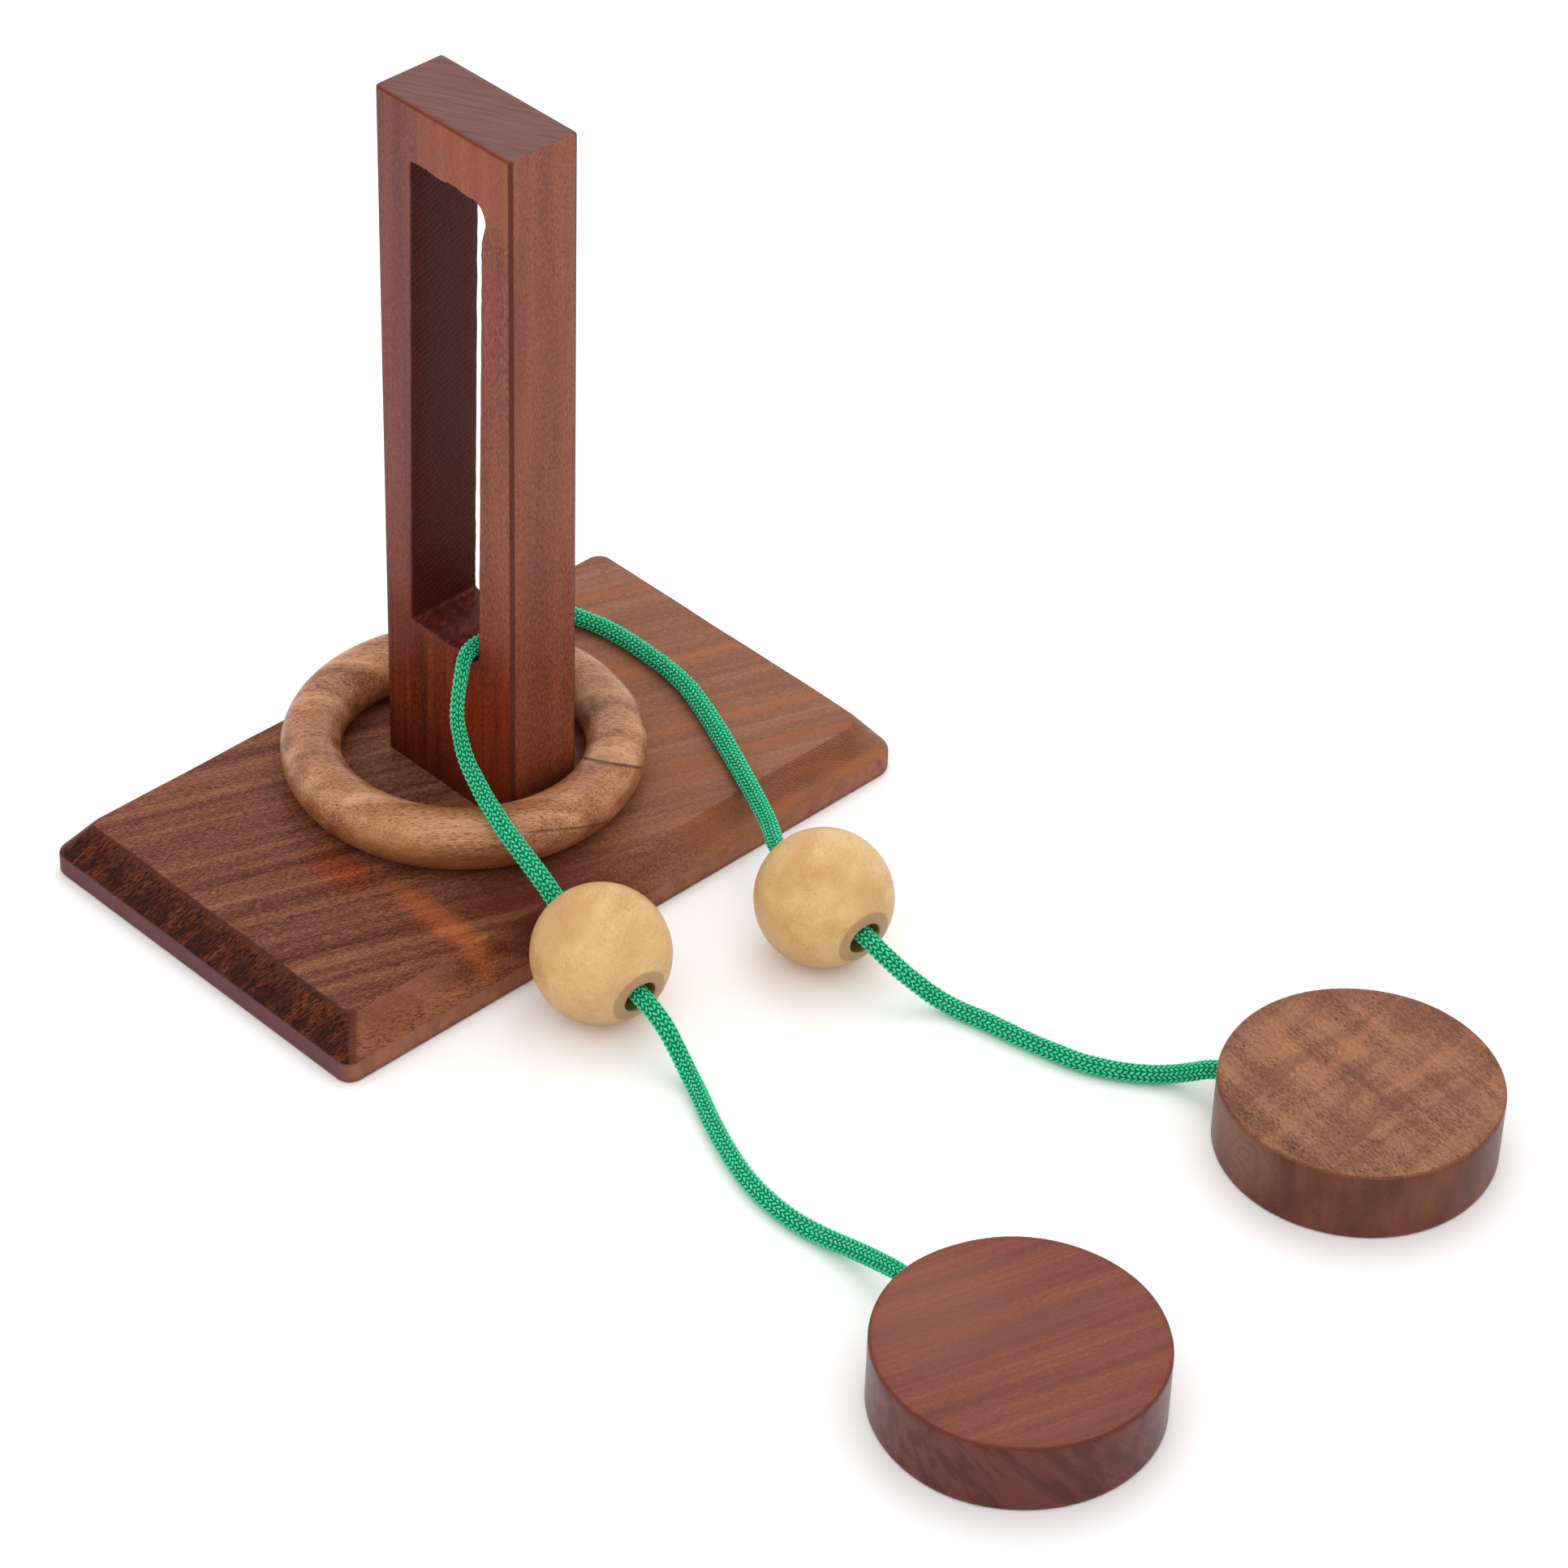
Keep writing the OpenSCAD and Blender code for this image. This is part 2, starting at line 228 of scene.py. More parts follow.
def parts(vector):
    """A vector's three coordinates."""
    return add(vector.id_data, "SeparateXYZ", {0: vector}).node.outputs[:]


def stored(tree, name):
    """The value of one of the piece's own attributes."""
    return add(tree, "Attribute", {}, out="Fac", attribute_name=name)


def without_sign(value):
    """The value, positive either way."""
    return add(value.id_data, "Math", {0: value}, operation="ABSOLUTE")


def drawn_out(at, size, turn=(0, 0, 0), middle=(0, 0, 0)):
    """Coordinates about a middle, in steps of a size along three axes that are turned by angles in degrees. The
    middle and the size are in millimetres."""
    return add(at.id_data, "Mapping", {
        "Vector": at, "Location": tuple(v * MM for v in middle), "Rotation": tuple(map(math.radians, turn)),
        "Scale": tuple(v * MM for v in size)}, vector_type="TEXTURE")


def drawn_noise(at, size, turn=(0, 0, 0), **settings):
    """Noise drawn out to a size in millimetres along three axes, which are turned by angles in degrees."""
    return add(at.id_data, "TexNoise", {"Vector": drawn_out(at, size, turn), "Scale": 1.0, **settings})


def ramp_up(value, low, high):
    """0 where a value is at or below low, 1 from high on, smooth between; the other way round where low is higher."""
    return add(value.id_data, "MapRange", {"Value": value, "From Min": low, "From Max": high},
               interpolation_type="SMOOTHSTEP")


def ramp_mm(coordinate, low, high):
    """The same for a coordinate, with low and high in millimetres."""
    return ramp_up(coordinate, low * MM, high * MM)


def near_middle(off, soft):
    """1 at the middle of drawn-out coordinates, falling to 0 where they are one step long."""
    return ramp_up(add(off.id_data, "VectorMath", {0: off}, out="Value", operation="LENGTH"), 1.0, 1.0 - soft)


def patch(at, middle, reach, soft):
    """1 near a point given in millimetres, falling to 0 at its reach along each axis."""
    tree = at.id_data
    off = add(tree, "VectorMath", {0: at, 1: tuple(v * MM for v in middle)}, operation="SUBTRACT")
    return near_middle(add(tree, "VectorMath", {0: off, 1: tuple(v * MM for v in reach)}, operation="DIVIDE"), soft)


def times(*factors):
    """The product of several numbers or outputs, the first of them an output if there is more than one."""
    product = factors[0]
    for factor in factors[1:]:
        product = add(product.id_data, "Math", {0: product, 1: factor}, operation="MULTIPLY")
    return product


def mixed(factor, first, second, how="MIX"):
    """Two colours mixed by a factor, or blended in another way. Each is an output or sRGB hex; where the first is
    hex, the factor is an output."""
    tree = (factor if isinstance(first, str) else first).id_data
    first, second = (linear(tone) if isinstance(tone, str) else tone for tone in (first, second))
    return add(tree, "Mix", {0: factor, 6: first, 7: second}, out=2, data_type="RGBA", blend_type=how)


def toned(colour, *tone_changes, how="MIX"):
    """A colour changed towards one tone after another: stain, painted shade and painted highlights alike. Each change
    is a tone followed by its factors.
    """
    for tone, *factors in tone_changes:
        colour = mixed(times(*factors), colour, tone, how)
    return colour


def wood_grain(tree, turn, tones, band, streak, fibre, dark, pale, seed, mix=(0.40, 0.34, 0.26), sway=0.0016):
    """Figure of sawn wood as a colour and a height. Noise is drawn out along the grain, whose direction is turn, in
    three sizes: bands, streaks and fibres, each given as length and width in millimetres. Their sum, with the
    weights of mix, runs through the tones, dark to light. Two further noises leave short flecks, dark pores and
    pale ones that hold dust, each given as length, width, how sparse they are, how strong, and their tone. Pores
    gather in the darker bands. The whole is shifted sideways by a slow noise, so that no line runs straight."""
    at = add(tree, "TexCoord", {}, out="Object")
    slow = add(tree, "TexNoise", {"Vector": at, "Scale": 30.0, "Detail": 2.0}, out="Color")
    slow = add(tree, "VectorMath", {0: slow, 1: (0.5, 0.5, 0.5)}, operation="SUBTRACT")
    at = add(tree, "VectorMath", {0: slow, 1: (sway, sway, sway), 2: at}, operation="MULTIPLY_ADD")
    at = add(tree, "VectorMath", {0: at, 1: tuple(seed * shift for shift in SEED_SHIFT)}, operation="ADD")

    def along_grain(long, wide, detail, rough=0.55):
        """Noise drawn out to a length along the grain and a width across it."""
        return drawn_noise(at, (long, wide, wide), turn, Detail=detail, Roughness=rough)

    bands, streaks, fibres = along_grain(*band, 1.0), along_grain(*streak, 2.0, 0.6), along_grain(*fibre, 1.0)
    total = times(fibres, mix[2])
    for noise, weight in ((streaks, mix[1]), (bands, mix[0])):
        total = add(tree, "Math", {0: noise, 1: weight, 2: total}, operation="MULTIPLY_ADD")
    least_sum, most_sum, fleck_edge = 0.37, 0.63, 0.07
    total = add(tree, "MapRange", {"Value": total, "From Min": least_sum, "From Max": most_sum})
    colour = add(tree, "ValToRGB", {"Fac": total})
    stops = colour.node.color_ramp.elements
    last = len(tones) - 1
    for k, tone in enumerate(tones):
        stop = stops[0] if k == 0 else stops[-1] if k == last else stops.new(k / last)
        stop.position, stop.color = k / last, linear(tone)
    height = fibres
    for sign, (long, wide, sparse, strong, tone) in ((-0.35, dark), (0.2, pale)):
        fleck = add(tree, "Math", {0: bands, 1: sign, 2: along_grain(long, wide, 0.0)}, operation="MULTIPLY_ADD")
        least = sparse + sign / 2
        fleck = add(tree, "MapRange", {"Value": fleck, "From Min": least, "From Max": least + fleck_edge,
                                       "To Max": strong})
        colour = toned(colour, (tone, fleck))
        height = add(tree, "Math", {0: fleck, 1: sign, 2: height}, operation="MULTIPLY_ADD")
    return colour, height, at


def finish_wood(shell, colour, height, depth=0.12, strength=0.5):
    """Puts the colour and a bump of the given depth in millimetres into the shader."""
    tree = shell.id_data
    bump = add(tree, "Bump", {"Height": height, "Distance": depth * MM, "Strength": strength})
    tree.links.new(colour, shell.inputs["Base Color"])
    tree.links.new(bump, shell.inputs["Normal"])


board_long, board_wide = 150.0, 91.0
board_corners, side_points = (3.2, 5.0, 3.6, 3.2), 72
# Inset from the rim and height, from the underside's edge over the rim and the chamfer to the top
board_profile = [(1.0, 0), (0.55, 0), (0.2, 0.12), (0.04, 0.4), (0, 0.8), (0, 1.4), (0, 3.6), (0.0, 4.2), (0.05, 4.62),
                 (0.2, 5.0), (0.45, 5.36), (0.9, 5.9), (2.6, 8.15), (4.9, 11.2), (5.22, 11.62), (5.38, 11.8),
                 (5.55, 11.92), (5.75, 11.98), (6.0, 12.0), (7.6, 12.0)]
loops = []
for inset, z in board_profile:
    x, y = board_long / 2 - inset, board_wide / 2 - inset
    radii = [max(r - 0.12 * inset, 0.8) for r in board_corners]
    loop = outline([(-x, -y), (x, -y), (x, y), (-x, y)], radii, side_points)
    loops.append(np.column_stack([loop, np.full(len(loop), z)]))
for share in (0.8, 0.45, 0.0):
    loops.append(loops[len(board_profile) - 1] * (share, share, 1))
loops = np.array(loops)
# The lower and upper edges of the chamfer, as rows of the profile, are sanded by hand and never quite straight
lower_edge, upper_edge, sanded_wave, sanded_high = (8, 9, 10), (14, 15, 16), 32, 0.07
way = np.cumsum(np.linalg.norm(np.diff(loops[8], axis=0, append=loops[8][:1]), axis=1))
for edge_rows, seed in ((lower_edge, 3), (upper_edge, 4)):
    loops[edge_rows, :, 2] += uneven(way, seed, sanded_wave, sanded_high)
board_points, board_quads = loops.reshape(-1, 3), grid_faces(*loops.shape[:2])
# The underside has two countersunk holes for the screws, given as radius and height
hole_profile, hole_sides, hole_off = [(4.05, 0), (4.05, 0.5), (2.05, 2.5), (2.05, 11.6), (0.0, 11.6)], 48, 10
for side in (-1, 1):
    a = turns(hole_sides)
    walls = np.array([np.column_stack([r * np.cos(a), side * hole_off + r * np.sin(a), np.full(hole_sides, z)])
                      for r, z in hole_profile])
    board_quads = np.vstack([board_quads, grid_faces(len(walls), hole_sides) + len(board_points)])
    board_points = np.vstack([board_points, walls.reshape(-1, 3)])

# Hardwood, stained brown and oiled: the open pores show as fine dark lines, the end grain drinks more stain
board_wood, tree, shell = new_material("oiled_brown_hardwood", 0.4, 0.08)
along_board, along_pores = (0, 0, -20), (0, -43, -43)
colour, height, at = wood_grain(
    tree, along_board, ("#57261c", "#69392c", "#794737", "#8b5641", "#a0694c"), band=(140, 3.4), streak=(30, 0.8),
    fibre=(0.8, 0.26), dark=(1.2, 0.22, 0.59, 0.6, "#4a251b"), pale=(0.9, 0.2, 0.61, 0.45, "#b0744e"), seed=1,
    mix=(0.34, 0.22, 0.44))
spot, facing = whereabouts(tree)
(at_x, at_y, at_z), (face_x, face_y, face_z) = parts(spot), parts(facing)
glow = drawn_noise(at, (60, 4, 4), along_board, Detail=2.0)
cloudy = drawn_noise(at, (7, 1.2, 5), along_board, Detail=2.0)
# The tone changes along the board: darkest at the front left, lighter and duller at the right
colour = toned(
    colour,
    ("#b88468", ramp_mm(at_x, -24, 44), 0.34),
    ("#b46a44", ramp_mm(at_x, -10, 50), ramp_up(glow, 0.48, 0.66), 0.45),
    ("#552a20", patch(spot, (-22, -36, 10), (34, 20, 14), 0.9), 0.42),
    ("#6b2f1c", patch(spot, (-16, -36, 10), (22, 20, 16), 0.9), 0.45))
# One orange streak lies across the grain at the front, and the board is lighter and more orange just outside the ring
# at its left
streak = times(patch(spot, (-37.8, -33, 12), (4.9, 24, 18), 0.9), ramp_up(cloudy, 0.05, 0.5))
colour = toned(colour, ("#fae0b4", streak, 0.9), how="OVERLAY")
colour = toned(colour, ("#b8693c", streak, 0.4))
colour = toned(colour, ("#dca468", patch(spot, (-42, -5, 12), (8, 12, 12), 0.9), 0.7), how="OVERLAY")
# A painted highlight: a short pale line along the chamfer's upper arris, at the streak's end
streak_arris_highlight = patch(spot, (-36, -39.8, 12), (6, 0.9, 1.6), 0.9)
colour = toned(colour, ("#c8804c", streak_arris_highlight, ramp_up(cloudy, 0.36, 0.58), 0.45))
# The long chamfer: a dark middle, lighter ends, and fine saw marks on its right end
on_slope = ramp_up(face_z, 0.15, 0.35)
steep_x, steep_y = without_sign(face_x), without_sign(face_y)
long_slope = times(ramp_up(steep_y, 0.35, 0.7), on_slope)
saw_at = add(tree, "Mapping", {"Vector": spot, "Rotation": tuple(map(math.radians, (0, 40, -26)))})
saw = add(tree, "TexWave", {"Vector": saw_at, "Scale": 571.0, "Distortion": 4.5, "Detail": 3.0, "Detail Scale": 1.5},
          bands_direction="X")
colour = toned(
    colour,
    ("#61301f", long_slope, patch(spot, (-14, -42, 8), (26, 14, 14), 0.8), 0.45),
    ("#a0634a", long_slope, ramp_mm(at_x, -38, -52), 0.5),
    ("#8a482e", long_slope, ramp_mm(at_x, 8, 32), ramp_mm(at_z, 6.2, 8.4), ramp_mm(at_x, 72, 62), 0.4),
    ("#a8643c", long_slope, ramp_mm(at_x, 8, 32), ramp_mm(at_z, 8, 6), 0.4),
    ("#5a281a", long_slope, ramp_mm(at_x, 26, 38), ramp_up(saw, 0.3, 0.9), ramp_mm(at_z, 6.2, 7.6),
     ramp_mm(at_x, 70, 64), 0.45))
# Short pores show on the lower half of its left end
pores = drawn_noise(spot, (2.4, 0.36, 0.5), along_board, Detail=1.0)
lower = times(times(long_slope, ramp_mm(at_x, -36, -50)), ramp_mm(at_z, 10, 7))
colour = toned(colour, ("#4c2416", lower, ramp_up(pores, 0.46, 0.34), 0.6),
                 ("#a8643c", lower, ramp_up(pores, 0.52, 0.66), 0.4))
# End grain: wavy pore tracks, orange-brown on nearly black, with darker growth bands across. The right front
# corner is sanded round and the dark end grain is left off it: a painted highlight on the rounding.
off_corner_highlight = ramp_up(patch(spot, (74, -40, 9), (12, 22, 14), 0.7), 1.0, 0.0)
end_slope = times(ramp_up(steep_x, 0.4, 0.62), on_slope, off_corner_highlight)
tracks = drawn_noise(spot, (1.7, 0.34, 0.34), along_pores, Detail=2.0, Distortion=0.8)
growth = drawn_noise(spot, (12, 2.8, 2.8), along_pores, Detail=2.0)
growth = times(ramp_up(growth, 0.42, 0.6), ramp_mm(at_z, 12.5, 7))
dark_end = toned(mixed(ramp_up(tracks, 0.34, 0.68), "#280d08", "#763a20"),
                   ("#200a06", growth, 0.7), ("#56302a", ramp_mm(at_z, 10.8, 12), 0.6))
colour = toned(colour, ("#4c241c", ramp_up(steep_x, 0.06, 0.3), on_slope, off_corner_highlight, 0.7))
colour = mixed(end_slope, colour, dark_end)
# The rims under the chamfers are sanded smooth; the short ones are drawn purple-grey, a painted reflection
rim = ramp_up(face_z, 0.5, 0.15)
colour = toned(
    colour,
    ("#6c4a50", rim, steep_x, 0.85),
    ("#7a4036", rim, steep_x, ramp_up(cloudy, 0.45, 0.65), 0.6),
    ("#ae725a", rim, steep_y, 0.7),
    ("#7c4638", rim, steep_y, ramp_up(cloudy, 0.42, 0.64), 0.45),
    # Painted shade: the long rim darkens towards the table
    ("#5c3c3c", rim, steep_y, ramp_mm(at_z, 1.6, 0.2), 0.5))
finish_wood(shell, colour, height, strength=0.3)

base_board = new_piece("base_board_wood", board_points, board_quads, board_wood)
whole = bmesh.new()
whole.from_mesh(base_board.data)
bmesh.ops.triangle_fill(whole, use_beauty=True, edges=[e for e in whole.edges if e.is_boundary])
bmesh.ops.recalc_face_normals(whole, faces=whole.faces)
whole.to_mesh(base_board.data)
whole.free()
base_board.data.shade_smooth()
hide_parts("base_board")
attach(base_board, "stand")

# ---- Post ----
# A planed block, 38 x 17 x 156 mm, with a slot cut right through by hand: its walls lean a little,
# its upper right corner is bored out, and its edges are torn. Two screws hold it from beneath.

post_low, post_high, post_half_w, post_half_t = 12.0, 168.0, 19.0, 8.5
slot_low, slot_high, slot_half, slot_lean = 48.0, 155.5, 9.9, math.radians(1.1)


def post_outer(inset):
    """The post's outline seen through the slot, drawn in by an inset at sides and top, and a little at its foot."""
    y, top, foot = post_half_w - inset, post_high - inset, post_low + inset * 0.05
    return outline([(y, foot), (-y, foot), (-y, top), (y, top)], [0.15, 0.15, 0.5, 0.5], side_points)


def slot_inner(grow, torn):
    """The slot's outline: a rectangle turned by its lean, with rounded corners, waves of a tenth of a millimetre
    along its walls, torn edges, and a bulge where its upper right corner was bored."""
    half, mid = slot_half + grow, (slot_low + slot_high) / 2
    rise = (slot_high - slot_low) / 2 + grow
    shape = outline([(half, -rise), (-half, -rise), (-half, rise), (half, rise)], [0.9, 2.4, 2.6, 0.9], side_points)
    y = shape[:, 0] * math.cos(slot_lean) - shape[:, 1] * math.sin(slot_lean)
    z = shape[:, 0] * math.sin(slot_lean) + shape[:, 1] * math.cos(slot_lean) + mid
    right, left = np.clip(-y - 6, 0, 3) / 3, np.clip(y - 5, 0, 3) / 3
    bulge = right * 0.95 * np.exp(-((z - 151.2) / 2.6) ** 2)
    y = y - bulge + right * uneven(z, 11, 17, 0.06) + left * uneven(z, 12, 15, 0.04)
    y = y + torn * (right + left) * uneven(z, 13, 1.7, 0.05)
    level = 1 - np.clip(right + left, 0, 1)
    z = z + level * (uneven(y, 14, 6, 0.16) + torn * uneven(y, 15, 1.5, 0.14))
    return np.column_stack([y, z])


edge = 0.8
# Outlines from the slot over a face to the post's outside: depth below the face, outline, share of the sawn wall
over_face = [
    (0.45, slot_inner(0, 0.4), 1), (0.1, slot_inner(0.06, 1), 0.6), (0, slot_inner(0.28, 1), 0),
    (0, slot_inner(0.8, 0), 0), (0, post_outer(edge * 2), 0), (0, post_outer(edge), 0),
    (edge * 0.13, post_outer(edge * 0.5), 0), (edge * 0.5, post_outer(edge * 0.13), 0), (edge, post_outer(0), 0),
    (edge * 2, post_outer(0), 0)]
in_slot = [(4, slot_inner(0.05, 0), 1), (0, slot_inner(0, 0), 1), (-4, slot_inner(-0.04, 0), 1)]
all_round = ([(-post_half_t + deep, shape, cut) for deep, shape, cut in over_face] + [(0, post_outer(0), 0)]
             + [(post_half_t - deep, shape, cut) for deep, shape, cut in over_face[::-1]] + in_slot)
rows = np.array([np.column_stack([np.full(len(shape), x), shape]) for x, shape, cut in all_round])
inside = np.array([np.full(len(shape), cut) for x, shape, cut in all_round])

# The same hardwood, redder and glossier towards the foot, with a brown end-grain top
post_wood, tree, shell = new_material("oiled_red_hardwood", 0.34, 0.12)
colour, height, at = wood_grain(
    tree, (0, 90, 0), ("#6c352a", "#834638", "#8f4e3e", "#985743", "#a5654d"), band=(160, 6), streak=(30, 1.2),
    fibre=(0.9, 0.3), dark=(0.9, 0.24, 0.595, 0.5, "#5c2c24"), pale=(0.9, 0.22, 0.62, 0.4, "#b07050"), seed=2,
    mix=(0.36, 0.18, 0.46))
spot, facing = whereabouts(tree)
(at_x, at_y, at_z), (face_x, face_y, face_z) = parts(spot), parts(facing)
front = ramp_up(face_x, -0.5, -0.8)
low = ramp_mm(at_z, 86, 40)
blotches = drawn_noise(spot, (7, 7, 60), Detail=0.5)
narrow = drawn_noise(spot, (1.6, 1.6, 40), Detail=1.0)
foot = times(ramp_mm(at_z, 58, 42), ramp_up(blotches, 0.4, 0.66), front, ramp_mm(at_y, -8, 3))
colour = toned(
    colour,
    # A more orange block over the slot ends at an upright line; a dark figure runs down beside the front arris
    ("#795052", front, ramp_mm(at_y, -4, 8), 0.4),
    ("#b06448", front, ramp_mm(at_z, 147, 155), ramp_mm(at_y, 7.3, 6.8), 0.45),
    ("#5f3029", patch(spot, (-6.4, -19, 132), (2.4, 6, 34), 0.8), 0.38),
    # Painted light: the face towards -Y is drawn lighter than the slotted face
    ("#b87a64", ramp_up(face_y, -0.5, -0.8), 0.2),
    # The foot is redder, and darker to the left, with upright streaks
    ("#85351d", low, 0.62),
    ("#88300c", front, ramp_mm(at_z, 58, 44), 0.78),
    ("#5e1e0c", front, ramp_mm(at_z, 60, 46), ramp_mm(at_y, -9, 2), 0.5),
    ("#431409", foot, 0.6),
    ("#35100a", patch(spot, (-8.5, 7, 26), (4, 3.4, 24), 0.8), 0.5),
    ("#92452a", front, low, ramp_up(narrow, 0.52, 0.68), 0.4),
    ("#421408", front, low, ramp_up(narrow, 0.46, 0.32), 0.25),
    ("#3c120a", low, ramp_up(height, 0.52, 0.38), 0.35),
    ("#94482c", low, ramp_up(height, 0.48, 0.62), 0.22),
    ("#4e180c", ramp_mm(at_z, 30, 12), 0.35))
# The arrises are planed off and have drunk dark red oil
corner = without_sign(times(face_x, face_y))
shoulder = times(without_sign(face_x), face_z)
colour = toned(colour, ("#54241e", ramp_up(corner, 0.08, 0.3), 0.8), ("#7a2f1a", ramp_up(shoulder, 0.1, 0.35), 0.8))
# End grain on top, with fine wavy lines across it; its greyish cast, in bands, is a painted reflection
lines = drawn_noise(spot, (9, 0.45, 5), (0, 0, -62), Detail=2.0, Distortion=0.25)
reflection_bands = drawn_noise(spot, (30, 5, 5), (0, 0, -62), Detail=1.0)
top_grain_and_reflection = toned(mixed(ramp_up(lines, 0.36, 0.64), "#6f4a44", "#83594f"),
                   ("#744c49", ramp_up(reflection_bands, 0.4, 0.62), 0.4))
colour = mixed(ramp_up(face_z, 0.7, 0.95), colour, top_grain_and_reflection)
# The slot's walls keep their saw marks and are dark with stain; its floor is torn, with orange fibres
cut = stored(tree, "cut")
saw_at = add(tree, "Mapping", {"Vector": spot, "Rotation": (0, math.radians(22), 0)})
saw = add(tree, "TexWave", {"Vector": saw_at, "Scale": 240.0, "Distortion": 3.0, "Detail": 2.0}, bands_direction="Z")
torn = drawn_noise(spot, (2.6, 0.7, 0.7), (0, 0, 25), Detail=3.0)
floor = times(ramp_up(face_z, 0.4, 0.8), ramp_mm(at_z, 60, 55))
wall = toned(mixed(times(ramp_up(saw, 0.2, 0.9), 0.6), "#471814", "#622622"),
               ("#6a2e26", ramp_up(height, 0.42, 0.62), 0.4), ("#8a3e22", floor, ramp_up(torn, 0.5, 0.72), 0.55))
colour = mixed(cut, colour, wall)
height = add(tree, "Math", {0: times(cut, torn), 1: 1.5, 2: height}, operation="MULTIPLY_ADD")
finish_wood(shell, colour, height)
post = new_piece("post_wood", rows, grid_faces(*rows.shape[:2], wrap_rows=True)[:, ::-1], post_wood, {"cut": inside})
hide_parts("post")
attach(post, "stand")

# ---- Post screws ----
# Two countersunk steel wood screws, driven from beneath. They keep their solids and show only there.

screw_steel, tree, shell = new_material("zinc_plated_steel", 0.35, metallic=1.0)
turned = add(tree, "TexNoise", {"Vector": add(tree, "TexCoord", {}, out="Object"), "Scale": 900.0, "Detail": 3.0})
tree.links.new(mixed(turned, "#8d8b86", "#c9c7c1"), shell.inputs["Base Color"])
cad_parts["post_screws"].material_slots[0].material = screw_steel

# ---- Ring ----
# A curtain-style ring turned from one flat board of a lighter wood: outer diameter 74 mm, section
# 12.4 mm. The board's grain runs straight through it, so it shows long at the front and short at the sides.

ring_middle, ring_radius, ring_section = (-2.0, 3.2, 18.2), 31.01, 6.2
round_ring, round_section = np.meshgrid(turns(256), turns(56))
section = ring_section + uneven(round_ring * 6, 21, 9, 0.05) - 0.06 * np.cos(4 * round_section)
far = ring_radius + section * np.cos(round_section)
ring_points = np.stack([ring_middle[0] + far * np.cos(round_ring), ring_middle[1] + far * np.sin(round_ring),
                        ring_middle[2] + np.clip(section, 0, ring_section) * np.sin(round_section)], -1)
ring_wood, tree, shell = new_material("waxed_light_hardwood", 0.34, 0.1, coat=0.35, coat_roughness=0.16)
ring_seed = 3
colour, height, at = wood_grain(
    tree, (0, 0, -41), ("#8e5432", "#ab6d46", "#bc7f59", "#cb9068", "#dba37a"), band=(80, 5), streak=(26, 1.2),
    fibre=(1.4, 0.3), dark=(1.3, 0.26, 0.61, 0.75, "#6b3e26"), pale=(1.2, 0.24, 0.66, 0.4, "#e0b28e"), seed=ring_seed,
    mix=(0.42, 0.30, 0.28))
spot, facing = whereabouts(tree)
for tone, middle, reach, soft, amount in (
        ("#bf8a4c", (-34, -12, 19), (17, 15, 9), 0.8, 0.4), ("#b4785a", (4, -27, 19), (16, 9, 12), 0.7, 0.2),
        ("#a8643a", (-24, -22, 15), (22, 18, 8), 0.9, 0.35), ("#957468", (26, -8, 22), (16, 18, 9), 0.8, 0.25),
        ("#957468", (-34, 18, 22), (14, 20, 9), 0.8, 0.15)):
    colour = toned(colour, (tone, patch(spot, middle, reach, soft), amount))
# A short crack crosses the ring at its right, and a fine dark line runs round low at the front, each along a plane
# given by its direction and its distance from the origin in millimetres
for across, off, half_wide, middle, reach, amount in (
        ((0.526, 0.299, 0.797), 16.62, 0.5, (12, -26, 22), (10, 9, 9), 0.85),
        ((0.3305, 0.2873, 0.899), 6.14, 0.45, (-4, -33, 19), (19, 8, 8), 0.6)):
    away = add(tree, "VectorMath", {0: at, 1: across}, out="Value", operation="DOT_PRODUCT")
    off = off * MM + ring_seed * sum(shift * part for shift, part in zip(SEED_SHIFT, across))
    away = without_sign(add(tree, "Math", {0: away, 1: off}, operation="SUBTRACT"))
    line = ramp_mm(away, half_wide, 0.2 * half_wide)
    colour = toned(colour, ("#4a2412", line, patch(spot, middle, reach, 0.5), amount))
# Painted shade: the ring is drawn darker where it faces down
colour = toned(colour, ("#7e4226", ramp_up(parts(facing)[2], 0.5, -0.4), 0.55))
finish_wood(shell, colour, height)
ring = new_piece("ring_wood", ring_points, grid_faces(*ring_points.shape[:2], wrap_rows=True), ring_wood)
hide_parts("ring")
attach(ring, "ring")

# ---- Ball beads ----
# Two turned balls of pale wood, 28 mm, bored along a line, with worn faces round the bore's ends.
# They lie on the table and slide on the rope.


def turned_solid(profile, count):
    """A closed profile of (radius, height along the axis) carried round the axis, as a grid of profile by turn."""
    a = turns(count)
    return np.stack([profile[:, :1] * np.cos(a), profile[:, :1] * np.sin(a), np.repeat(profile[:, 1:2], count, 1)], -1)


ball, bore, face_out, mouth, bead_sides = 14.0, 3.5, 6.5, 13.2, 112
face_at = math.sqrt(ball ** 2 - face_out ** 2)
first_polar = math.acos(face_at / ball) + 0.03
end_face = [
    (bore, 0), (bore, mouth - 0.9), (bore + 0.05, mouth - 0.35), (bore + 0.25, mouth - 0.06),
    (bore + 0.6, mouth - 0.12), (bore + 1.4, mouth - 0.36), (face_out - 0.6, face_at + 0.22),
    (face_out - 0.15, face_at + 0.06)]
bead_profile = np.array(end_face + [(ball * math.sin(p), ball * math.cos(p))
                                    for p in np.linspace(first_polar, math.pi - first_polar, 64)]
                        + [(r, -z) for r, z in end_face[:0:-1]])
in_bore = bead_profile[:, 0] < bore + 0.1
face_wear = np.where((np.hypot(*bead_profile.T) < ball - 0.02) & (bead_profile[:, 0] > bore + 0.1), 1.0, 0.0)

